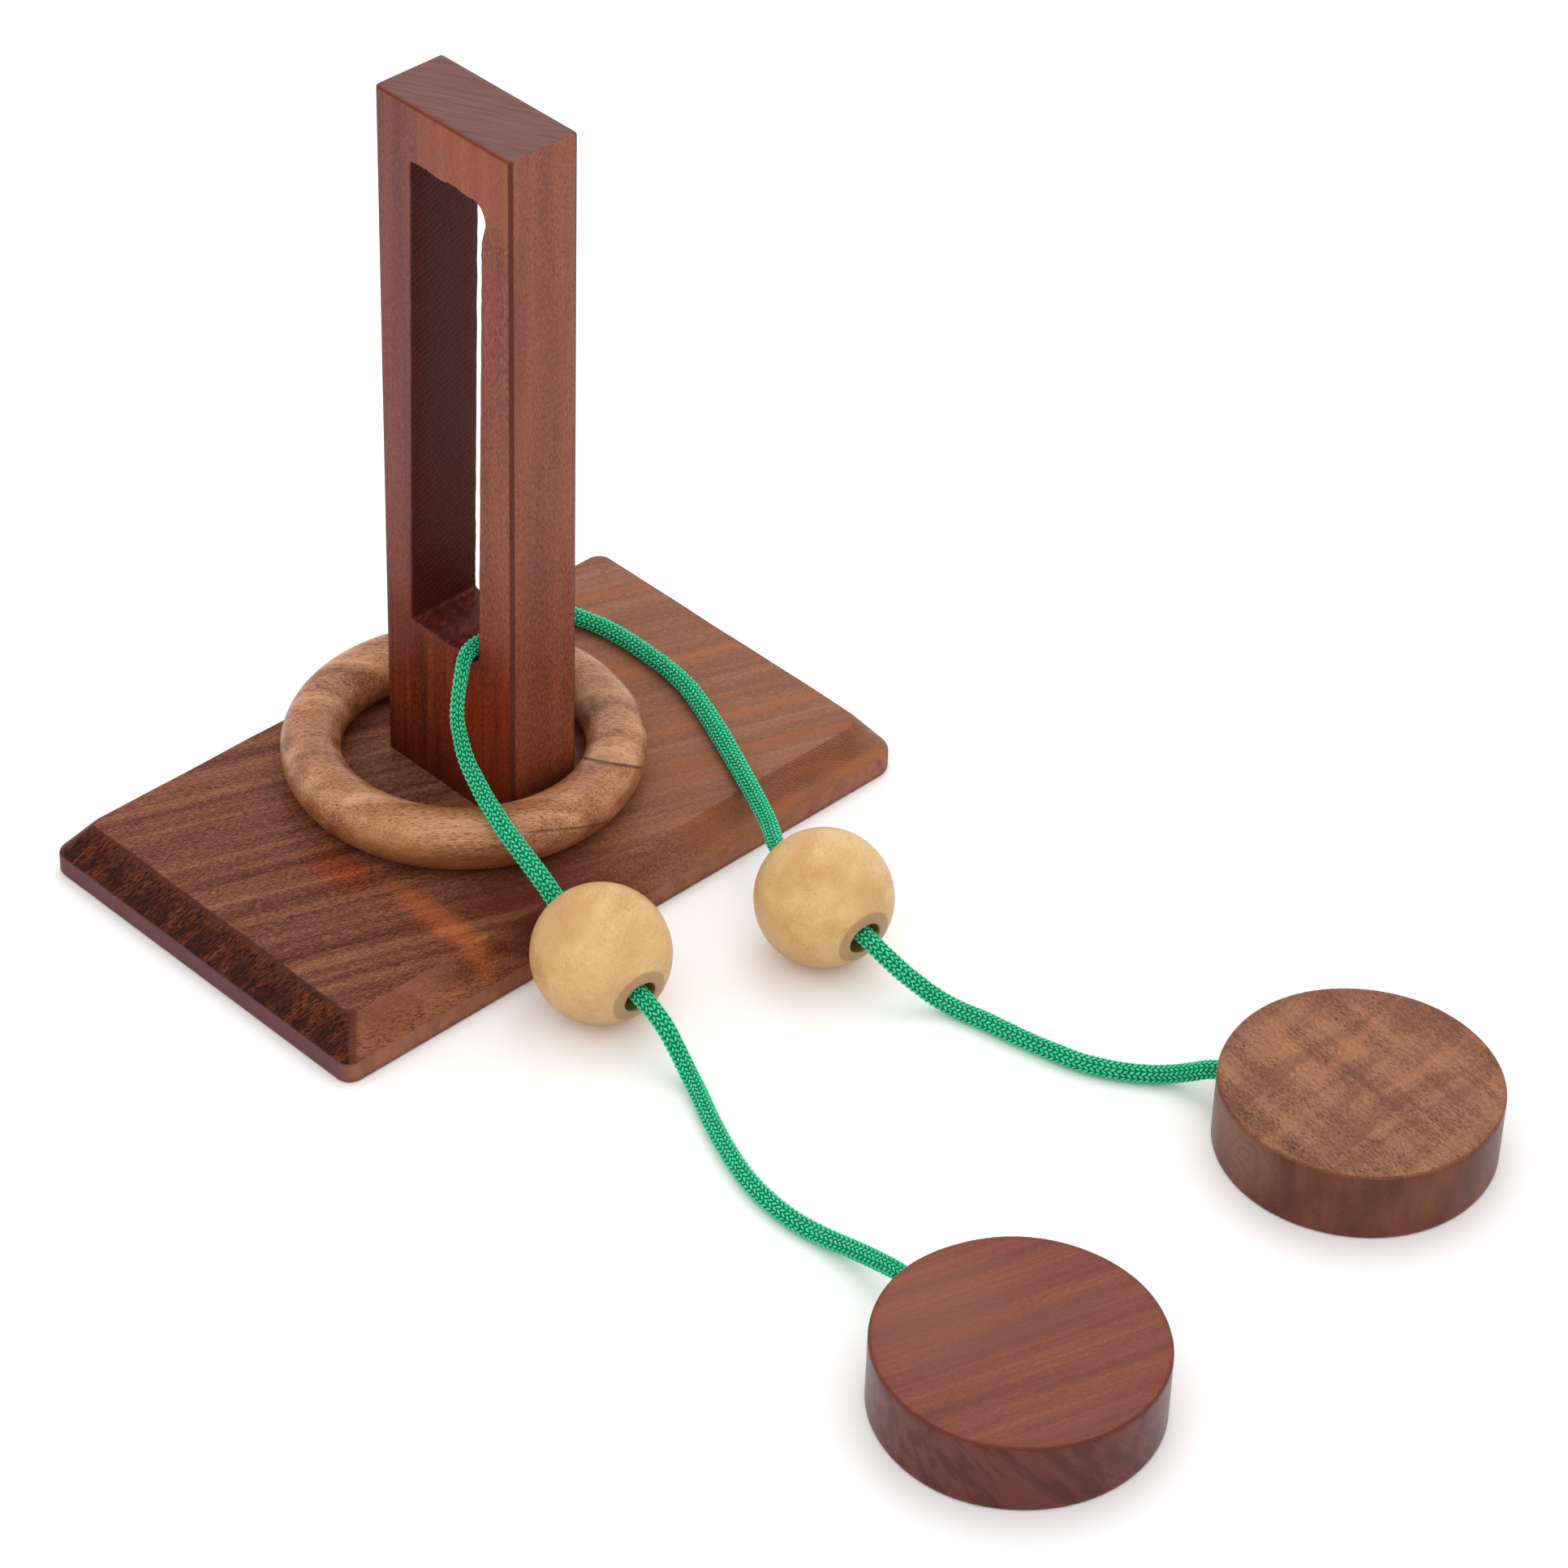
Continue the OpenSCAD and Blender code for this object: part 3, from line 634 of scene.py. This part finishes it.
bead_wood, tree, shell = new_material("varnished_pale_maple", 0.32, 0.3)
colour, height, at = wood_grain(
    tree, (0, 20, 30), ("#d9ab70", "#e3b679", "#e8bd81", "#ebc288", "#f0ca92"), band=(20, 8), streak=(12, 3.0),
    fibre=(4, 0.5), dark=(1.6, 0.3, 0.69, 0.4, "#b98a55"), pale=(3.0, 0.3, 0.68, 0.3, "#ecca98"), seed=4)
spot = add(tree, "TexCoord", {}, out="Object")
cloud = add(tree, "TexNoise", {"Vector": spot, "Scale": 95.0, "Detail": 1.0})
worn = stored(tree, "face_wear")
walls = stored(tree, "bore_wall")
# Painted shade: the lower part of each ball is drawn darker and greyer towards the table
colour = toned(colour, ("#cf9558", ramp_up(cloud, 0.5, 0.72), 0.45), ("#cd9c70", ramp_mm(parts(spot)[2], 17, 3), 0.5),
                 ("#aa8064", worn, 0.65), ("#8a7038", walls))
finish_wood(shell, colour, height, depth=0.04, strength=0.3)

for name, node, middle, turn, dip in (("bead_front_ball", "bead_front", (-23.1, -60.8), -96.6, 10.0),
                                      ("bead_back_ball", "bead_back", (21.1, -77.8), -96.0, 8.0)):
    t, d = math.radians(turn), math.radians(dip)
    axis = np.array([math.cos(d) * math.cos(t), math.cos(d) * math.sin(t), -math.sin(d)])
    side = np.array([-math.sin(t), math.cos(t), 0.0])
    points = turned_solid(bead_profile, bead_sides) @ np.array([side, np.cross(axis, side), axis]) + (*middle, ball)
    bead = new_piece(name, points, grid_faces(*points.shape[:2], wrap_rows=True)[:, ::-1], bead_wood,
                     {"face_wear": np.repeat(face_wear, bead_sides), "bore_wall": np.repeat(in_bore, bead_sides)})
    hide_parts(node)
    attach(bead, node)

# ---- Discs ----
# Two discs sawn from a board, 55 mm across and 15.5 mm thick, with a blind hole in the side where
# the rope is glued in. The front one is plain and reddish, the back one open-pored and orange-brown.


def disc_grid(middle, turn, seed):
    """A disc as a grid of rows (from the top's centre over the side to the underside's centre) by columns round it.
    Round the hole the square patch of the grid is drawn onto the hole's circle: a point whose larger offset is m
    moves from the circle at m = inner to its own place at m = outer; inside it the points go down the wall."""
    radius, thick, bevel, hole, deep, step, inner, outer = 27.5, 15.5, 0.6, 2.35, 10.0, 0.5, 2, 6
    offsets = np.arange(-12, 13) * step
    near = offsets / radius
    angles = np.concatenate([near, np.linspace(near[-1], 2 * np.pi + near[0], 150)[1:-1]])
    flat = (0, 9, 18, 24.5, 26.2)
    arris = ((bevel * 1.1, 0), (bevel * 0.55, bevel * 0.16), (bevel * 0.16, bevel * 0.55), (0, bevel * 1.1))
    profile = np.array(
        [(r, thick) for r in flat] + [(radius - inset, thick - down) for inset, down in arris]
        + [(radius, z) for z in (offsets + thick / 2)[::-1]]
        + [(radius - inset, down) for inset, down in arris[::-1]] + [(r, 0) for r in flat[::-1]])
    full = np.ones(len(angles))
    r, z = profile[:, :1] * full, profile[:, 1:] * full
    angle = np.where(angles > np.pi, angles - 2 * np.pi, angles)[None, :] * np.ones(r.shape)
    s, h = angle * radius, z - thick / 2
    m = np.maximum(np.abs(s), np.abs(h))
    round_hole = (m < outer + 0.01) & (r > radius - 1e-6)
    wall = round_hole & (m < inner - 0.01)
    t, share = np.clip((m - inner) / (outer - inner), 0, 1), np.clip(m, 0, 1)
    reach = np.maximum(np.hypot(s, h), 1e-9)
    s2, h2 = (np.where(wall, v / reach * hole * share, np.where(round_hole, v / reach * hole * (1 - t) + v * t, v))
              for v in (s, h))
    depth = np.where(wall, np.where(m > 1.4, 0.4, deep), 0.0)
    swell = 1 + uneven(angles, seed, 1.3, 0.0035)[None, :] * np.clip(r / radius, 0, 1) * (1 - round_hole)
    x = np.where(wall, np.sqrt(np.maximum(radius ** 2 - s2 ** 2, 0)) - depth, r * swell * np.cos(s2 / radius))
    y = np.where(wall, s2, r * swell * np.sin(s2 / radius))
    a = math.radians(turn)
    return np.stack([middle[0] + x * math.cos(a) - y * math.sin(a), middle[1] + x * math.sin(a) + y * math.cos(a),
                     h2 + thick / 2], -1)


def disc_side(colour, facing, side_tone, amount, arris_tone, arris_amount):
    """The disc's colour with its side in a tone of its own, and the arris between them in another."""
    steep = without_sign(parts(facing)[2])
    side = times(ramp_up(steep, 0.6, 0.2), *amount)
    arris = times(ramp_up(steep, 0.98, 0.8), ramp_up(steep, 0.2, 0.5))
    return toned(mixed(side, colour, side_tone), (arris_tone, arris, arris_amount))


front_wood, tree, shell = new_material("oiled_plain_hardwood", 0.26, 0.1, coat=0.32, coat_roughness=0.22)
along_front = (0, 0, -17)
colour, height, at = wood_grain(
    tree, along_front, ("#652413", "#722c1a", "#7b331e", "#823921", "#8d4525"), band=(120, 5), streak=(30, 1.1),
    fibre=(0.9, 0.26), dark=(0.9, 0.22, 0.61, 0.4, "#642f25"), pale=(0.9, 0.2, 0.64, 0.15, "#a86c50"), seed=5,
    mix=(0.40, 0.36, 0.24))
spot, facing = whereabouts(tree)
middle_band = near_middle(drawn_out(spot, (26, 4.2, 30), along_front, (-41, -190, 15)), 0.7)
colour = toned(colour, ("#986044", patch(spot, (-47, -175, 15), (26, 20, 8), 0.9), 0.35),
                 ("#6e3a32", middle_band, 0.5))
# The side is end grain and long grain by turns, darker and more purple, with a slanting figure
figure = drawn_noise(spot, (22, 2.2, 2.2), (0, 48, -40), Detail=3.0)
side_tone = toned(mixed(ramp_up(figure, 0.38, 0.62), "#4e201c", "#6e3830"), ("#7a4438", 0.25))
finish_wood(shell, disc_side(colour, facing, side_tone, (), "#64281a", 0.7), height)

back_wood, tree, shell = new_material("oiled_open_pored_hardwood", 0.28, 0.1, coat=0.2, coat_roughness=0.22)
back_seed = 6
colour, height, at = wood_grain(
    tree, (0, 0, -97), ("#6d3c24", "#814e34", "#915c42", "#9e684a", "#b07656"), band=(50, 7), streak=(16, 1.2),
    fibre=(0.9, 0.28), dark=(1.1, 0.24, 0.61, 0.8, "#4a2817"), pale=(0.9, 0.22, 0.63, 0.35, "#c0865c"), seed=back_seed,
    mix=(0.30, 0.28, 0.42))
spot, facing = whereabouts(tree)
# Ripples run across the grain, and one dark streak along it through the middle
ripple = drawn_noise(spot, (26, 5, 20), (0, 0, 2), Detail=2.0, Distortion=0.5)
streak_middle = [v + back_seed * shift / MM for v, shift in zip((57, -189, 0), SEED_SHIFT)]
streak = near_middle(drawn_out(at, (19, 1.5, 60), (0, 0, -99), streak_middle), 0.8)
colour = toned(colour, ("#70402c", ramp_up(ripple, 0.5, 0.66), 0.45), ("#b5784e", ramp_up(ripple, 0.48, 0.34), 0.35),
                 ("#50303a", streak, 0.5))
# A knot's swirl shows on its side: rings round a point, drawn out along the side
figure = drawn_noise(spot, (8, 8, 30), Detail=4.0)
knot_middle = (29.8, -182.1, 9.5)
knot_at = drawn_out(spot, (9, 9, 7), (0, 0, -10), knot_middle)
swirl = add(tree, "TexWave", {"Vector": knot_at, "Scale": 0.95, "Distortion": 9.0, "Detail": 3.0, "Detail Scale": 1.7},
            wave_type="RINGS", rings_direction="SPHERICAL")
knot = patch(spot, knot_middle, (12, 13, 11), 0.9)
side_tone = toned(mixed(ramp_up(figure, 0.36, 0.64), "#5a2f24", "#784430"),
                    ("#8f6450", knot, 0.55), ("#4f2d22", knot, ramp_up(swirl, 0.35, 1.0), 0.4))
finish_wood(shell, disc_side(colour, facing, side_tone, (0.85,), "#7a4028", 0.6), height)

for node, wood, slot, middle, turn, seed in (
        ("disc_front", front_wood, "front_disc_wood", (-41.956, -191.928), 85.0, 31),
        ("disc_back", back_wood, "back_disc_wood", (56.918, -186.917), 112.0, 32)):
    points = disc_grid(middle, turn, seed)
    disc = new_piece(node + "_wood", points, grid_faces(*points.shape[:2])[:, ::-1], wood)
    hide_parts(node)
    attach(disc, node)

# ---- Rope ----
# One length of green knitted polyester cord, 4.2 mm, from disc to disc through the slot: seven
# columns of V stitches round a core, drawn darker as painted shade in the gaps. It is made in stretches.

# The route that the CAD source gives, from the slot to the end of each strand
front_strand = [
    [0, -6.2, 50.2], [-8.2, -6.3, 50.2], [-10.8, -7.4, 49.8], [-13, -9.1, 48.8], [-15, -10.5, 47.1],
    [-16.4, -11.5, 44.4], [-17, -12.1, 41.2], [-17, -12.9, 37.4], [-17.2, -14.2, 34.2], [-17.4, -16.1, 31.4],
    [-17.8, -19, 28.8], [-18.4, -22, 27.2], [-19.2, -25.4, 26.3], [-20.1, -29.2, 25.2], [-20.8, -34.5, 23.5],
    [-21.2, -40.8, 20.8], [-21.3, -44.7, 18.5], [-21.6, -48.2, 16.6], [-23.1, -60.8, 14.5],
    [-24.7, -74.4, 12.3], [-24.9, -78, 11.1], [-25, -81.5, 8.9], [-25.3, -85.4, 5.4], [-26.1, -88.9, 3.2],
    [-27.4, -92.6, 2.3], [-31.3, -100.5, 2.2], [-34.9, -108.7, 2.2], [-37.7, -116.7, 2.2], [-39.2, -124.5, 2.2],
    [-39.4, -131.9, 2.2], [-38.6, -138.8, 2.4], [-38.1, -145.4, 3.5], [-38.3, -151.5, 5.1], [-38.9, -158, 7],
    [-39.6, -164.4, 7.8], [-40.3, -173, 7.8]]
back_strand = [
    [7.4, -4.9, 50.2], [10.6, -3.3, 49.9], [13.2, -1.3, 48.7], [15.2, 1, 46.4], [16.5, 3.8, 43], [17.3, 7, 39],
    [17.9, 10.8, 35], [18.8, 14.8, 31.6], [20.1, 19, 28.7], [21.8, 23.1, 26.9], [23.8, 26.2, 26.1],
    [26, 28.8, 24], [28.5, 31.2, 20.6], [31.3, 33.5, 17.2], [34.5, 35.3, 15], [38, 35.9, 14.3],
    [41.4, 34.9, 14.2], [44.3, 32.4, 14.2], [46.6, 28.8, 14.2], [48.2, 24, 14.2], [49.8, 17.8, 14.2],
    [50.4, 11.2, 14.2], [50.3, 4.2, 14.2], [49.8, -2.9, 14.2], [48.5, -10, 14.2], [45.9, -17.5, 14.2],
    [42.8, -25.1, 14.2], [39.4, -32.6, 14.2], [36, -40, 14.2], [32.5, -47.3, 14.3], [28.4, -54.8, 14.8],
    [25, -59.8, 15.4], [22.7, -65, 15.8], [21.1, -77.8, 14.4], [19.7, -91.5, 12.9], [19.9, -95.2, 11.5],
    [21.2, -99, 8.8], [23.2, -102.4, 5.9], [25.1, -105.7, 3.5], [26.5, -109.4, 2.3], [28, -115.6, 2.2],
    [29.3, -122.9, 2.2], [30.8, -129.8, 2.2], [32.9, -136.6, 2.2], [36.1, -143, 2.2], [39.6, -147.7, 2.2],
    [42.6, -151.4, 2.7], [44.7, -155.2, 4.5], [46, -158.8, 6.7], [46.9, -162, 7.8], [49.8, -169.3, 7.8]]
rope_points = np.array(front_strand[::-1] + back_strand, float)
rope_wide, rope_step = 4.2, 0.25


def smooth_way(points, fine=12):
    """A centripetal Catmull-Rom curve through the points, at even steps: on each span a cubic whose end slopes
    come from the neighbours, weighted by the root of their distances."""
    p1, p2 = points[:-1], points[1:]
    p0 = np.vstack([2 * points[:1] - points[1:2], points[:-2]])
    p3 = np.vstack([points[2:], 2 * points[-1:] - points[-2:-1]])
    d = [np.sqrt(np.linalg.norm(b - a, axis=1, keepdims=True)) for a, b in ((p0, p1), (p1, p2), (p2, p3))]
    m1 = ((p1 - p0) / d[0] - (p2 - p0) / (d[0] + d[1]) + (p2 - p1) / d[1]) * d[1]
    m2 = ((p2 - p1) / d[1] - (p3 - p1) / (d[1] + d[2]) + (p3 - p2) / d[2]) * d[1]
    t = (np.arange(fine) / fine)[:, None, None]
    line = ((2 * t ** 3 - 3 * t ** 2 + 1) * p1 + (t ** 3 - 2 * t ** 2 + t) * m1 + (3 * t ** 2 - 2 * t ** 3) * p2
            + (t ** 3 - t ** 2) * m2).transpose(1, 0, 2).reshape(-1, 3)
    line = np.vstack([line, points[-1:]])
    gone = np.r_[0, np.cumsum(np.linalg.norm(np.diff(line, axis=0), axis=1))]
    even = np.linspace(0, gone[-1], int(gone[-1] / rope_step) + 1)
    return np.column_stack([np.interp(even, gone, line[:, k]) for k in range(3)]), even


rope_line, rope_gone = smooth_way(rope_points)


def place_of(point):
    """How far along the rope its nearest place to a point is."""
    return rope_gone[np.argmin(np.linalg.norm(rope_line - np.array(point), axis=1))]


slot_place = place_of(front_strand[0])
# The limp cord is not round all along: its width on the table, by distance from the slot, the front strand negative
width_at = np.array([(-205, 3.9), (-186, 3.3), (-174, 3.8), (-163, 4.15), (-150, 3.9), (-141, 3.7), (-111, 3.7),
                     (-99, 4.2), (-70, 4.3), (-60, 4.3), (-50, 4.05), (-40, 3.75), (-28, 3.2), (-20, 2.9), (-10, 3.0),
                     (0, 3.6), (30, 3.9), (95, 4.0), (118, 3.95), (130, 4.45), (145, 4.45), (158, 4.05), (176, 3.7),
                     (212, 4.1), (230, 4.0), (246, 3.6), (256, 3.3), (264, 3.9), (278, 3.9), (303, 3.8)])
wide = np.interp(rope_gone - slot_place, *width_at.T)
ahead = np.gradient(rope_line, axis=0)
ahead /= np.linalg.norm(ahead, axis=1, keepdims=True)
# Where it isn't steep it lies flatter than it is wide, or the other way round, as its filling is the same
steep = np.clip((np.abs(ahead[:, 2]) - 0.5) / 0.3, 0, 1)
tall = np.clip(15.2 / wide, 3.4, rope_wide) * (1 - steep) + wide * steep
level = np.cross(ahead, (0, 0, 1.0))
level /= np.linalg.norm(level, axis=1, keepdims=True)
above = np.cross(level, ahead)
heading = np.unwrap(np.arctan2(ahead[:, 1], ahead[:, 0]))
# The stitches don't turn with the level side vector: its turn about the rope is taken out again
lag = np.concatenate([[0], np.cumsum(ahead[1:, 2] * np.diff(heading))])
# Where the cord is flatter than round, it lies down to what is under it
rope_line = rope_line - above * ((rope_wide - tall) / 2)[:, None] * np.clip(above[:, 2:], 0, 1)


def on_rope(gone, angle, out):
    """Points at a distance along the rope, an angle round it and a height out of its oval surface."""
    def at(values):
        return np.interp(gone, rope_gone, values)[..., None] if values.ndim == 1 else np.stack(
            [np.interp(gone, rope_gone, values[:, k]) for k in range(3)], -1)
    a = angle[..., None] + at(lag)
    half_w, half_t = at(wide) / 2, at(tall) / 2
    side, up = at(level), at(above)
    square = np.cos(a) / half_w * side + np.sin(a) / half_t * up
    square /= np.linalg.norm(square, axis=-1, keepdims=True)
    return at(rope_line) + half_w * np.cos(a) * side + half_t * np.sin(a) * up + square * out[..., None]


rope_braid, tree, shell = new_material("knitted_green_polyester", 0.4, 0.1)
buried = stored(tree, "buried")
shade = stored(tree, "shade")
lay = add(tree, "UVMap", {}, uv_map="lay")
# Each leg is a bundle of filaments, about a sixth of its width; they are drawn as fine lines along it, the pale ones
# painted highlights
threads_at = add(tree, "Mapping", {"Vector": lay, "Scale": (1.5, 8.0, 1.0)})
threads = add(tree, "TexNoise", {"Vector": threads_at, "Scale": 1.0, "Detail": 2.0})
green = toned(mixed(shade, "#2cd69c", "#52ebb8"), ("#8cfcd2", ramp_up(threads, 0.4, 0.7), 0.5),
                # Painted shade: the legs darken where they sink into the cord, and the core is darkest
                ("#05a066", ramp_up(buried, 0.35, 0.9)), ("#027f49", ramp_up(buried, 0.95, 1.2)))
finish_wood(shell, green, threads, depth=0.05, strength=0.5)

stitch, columns, stations, legs_round = 1.17, 7, (0, 0.07, 0.25, 0.5, 0.75, 0.93, 1), 6
core_sides, core_step, core_in, core_buried = 24, 0.6, 0.38, 1.3
first_row, last_gap = 0.6, 1.6
leg_half_w, leg_half_t, leg_long, leg_in, leg_arch, rope_mean_r = 0.305, 0.28, 1.16, 0.40, 0.14, 1.9


def rope_stretch(name, start, end):
    """The cord between two distances along it. A core tube lies under the stitches. Each stitch is a V of two legs,
    and neighbouring columns are shifted by three sevenths of a stitch, so that the pattern closes. A leg is a thin
    ball drawn out from the V's point, at its column's middle, to the column's side; it arches out of the
    surface like half a sine wave and is buried at both ends. The V's points face away from the slot."""
    lot = np.random.default_rng(int(start * 10) + 7)
    gone = np.linspace(start, end, max(4, int((end - start) / core_step)))[:, None] * np.ones(core_sides)
    tube = on_rope(gone, np.ones(gone.shape) * turns(core_sides), np.full(gone.shape, -core_in))
    ends = [tube[k:k + 1 or None].mean(1, keepdims=True) * np.ones((1, core_sides, 1)) for k in (0, -1)]
    tube = np.concatenate([ends[0], tube, ends[1]])
    points, quads = tube.reshape(-1, 3), grid_faces(len(tube), core_sides)[:, ::-1]
    buried, shade, uv = np.ones(len(points)) * core_buried, np.zeros(len(points)), np.zeros((len(points), 2))
    rows = np.arange(math.ceil(max(start, first_row) / stitch), math.ceil(min(end, rope_gone[-1] - last_gap) / stitch))
    row, column, side = (x.ravel()[:, None, None] for x in np.meshgrid(
        rows, np.arange(columns), (-1.0, 1.0), indexing="ij"))
    count = len(row)
    jitter = lot.normal(0, 1, (4, count, 1, 1))
    t = np.array(stations)[None, :, None]
    turn = turns(legs_round)[None, None, :]
    middle = row * stitch + (column * 3 / columns % 1) * stitch
    facing = np.where(middle > slot_place, 1.0, -1.0)
    body = np.sin(np.pi * t ** 1.3) ** 0.65 * (1 + jitter[1] * 0.06)
    across_leg, out_leg = leg_half_w * body * np.cos(turn), leg_half_t * body * np.sin(turn)
    along = middle + facing * ((0.5 - t) * leg_long + 0.5 * across_leg) + jitter[0] * 0.02
    angle = 2 * np.pi / columns * (column + side * (0.03 + 0.45 * t)) + side * across_leg * 0.85 / rope_mean_r
    out = -leg_in + leg_arch * np.sin(np.pi * t) ** 0.8 + out_leg + jitter[2] * 0.015
    leg = on_rope(along, angle, out)
    pattern = grid_faces(len(stations), legs_round)
    inward = (side * facing).ravel()[:, None, None] > 0
    pattern = np.where(inward, pattern[None, :, ::-1], pattern[None])
    first_point = len(points) + (np.arange(count) * leg.shape[1] * legs_round)[:, None, None]
    quads = np.vstack([quads, (pattern + first_point).reshape(-1, 4)])
    points = np.vstack([points, leg.reshape(-1, 3)])
    full = np.ones(leg.shape[:3])
    buried = np.r_[buried, (-out / leg_in).ravel()]
    shade = np.r_[shade, (np.clip(0.5 + 0.22 * jitter[3], 0, 1) * full).ravel()]
    uv = np.vstack([uv, np.stack([t * full, np.cos(turn) * 0.5 * full + row * 0.37 + column * 1.7], -1).reshape(-1, 2)])
    return new_piece(name, points, quads, rope_braid, {"buried": buried, "shade": shade}, uv)


# Where one stretch passes into the next, from the front disc's hole to the back one's: on the table, in the ball,
# over the ring, in the slot, over the ring, on the board, in the ball, on the table
cuts = [0.0, *map(place_of, ((-37.7, -116.7, 2.2), (-23.1, -60.8, 14.5), (-18.8, -23.5, 26.8))), slot_place,
        *map(place_of, ((21.8, 23.1, 26.9), (46.6, 28.8, 14.2), (21.1, -77.8, 14.4), (30.8, -129.8, 2.2))),
        rope_gone[-1]]
# Each stretch: its name, the CAD node, the two bodies it runs between and a place on it for each of them
for start, end, (name, node, bodies, ends) in zip(cuts, cuts[1:], (
        ("front_end", "front_end", ("stand", "disc_front"), ((-39.2, -134, 2.2), (-38.9, -158, 7))),
        ("front_middle", "front_middle", ("bead_front", "stand"), ((-24.7, -74.4, 12.3), (-31.3, -100.5, 2.2))),
        ("front_down", "front_over_ring", ("stand", "ring"), ((-21.6, -48.2, 16.6), (-19, -25, 26.4))),
        ("front_up", "front_over_ring", ("stand", "ring"), ((-10.8, -7.4, 49.8), (-18.6, -22.5, 27))),
        ("back_up", "back_over_ring", ("stand", "ring"), ((10.6, -3.3, 49.9), (21.5, 22.3, 27.2))),
        ("back_down", "back_over_ring", ("stand", "ring"), ((39, 36, 14.2), (22.4, 24, 26.6))),
        ("back_board", "back_over_ring", ("stand", "bead_back"), ((38, -36, 14.2), (23.2, -63.5, 15.7))),
        ("back_middle", "back_middle", ("bead_back", "stand"), ((19.7, -91.5, 12.9), (28, -115.6, 2.2))),
        ("back_end", "back_end", ("stand", "disc_back"), ((35, -141, 2.2), (46, -158.8, 6.7))))):
    stretch = rope_stretch("rope_" + name + "_cord", start, end)
    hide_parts("rope_" + node)
    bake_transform(stretch)
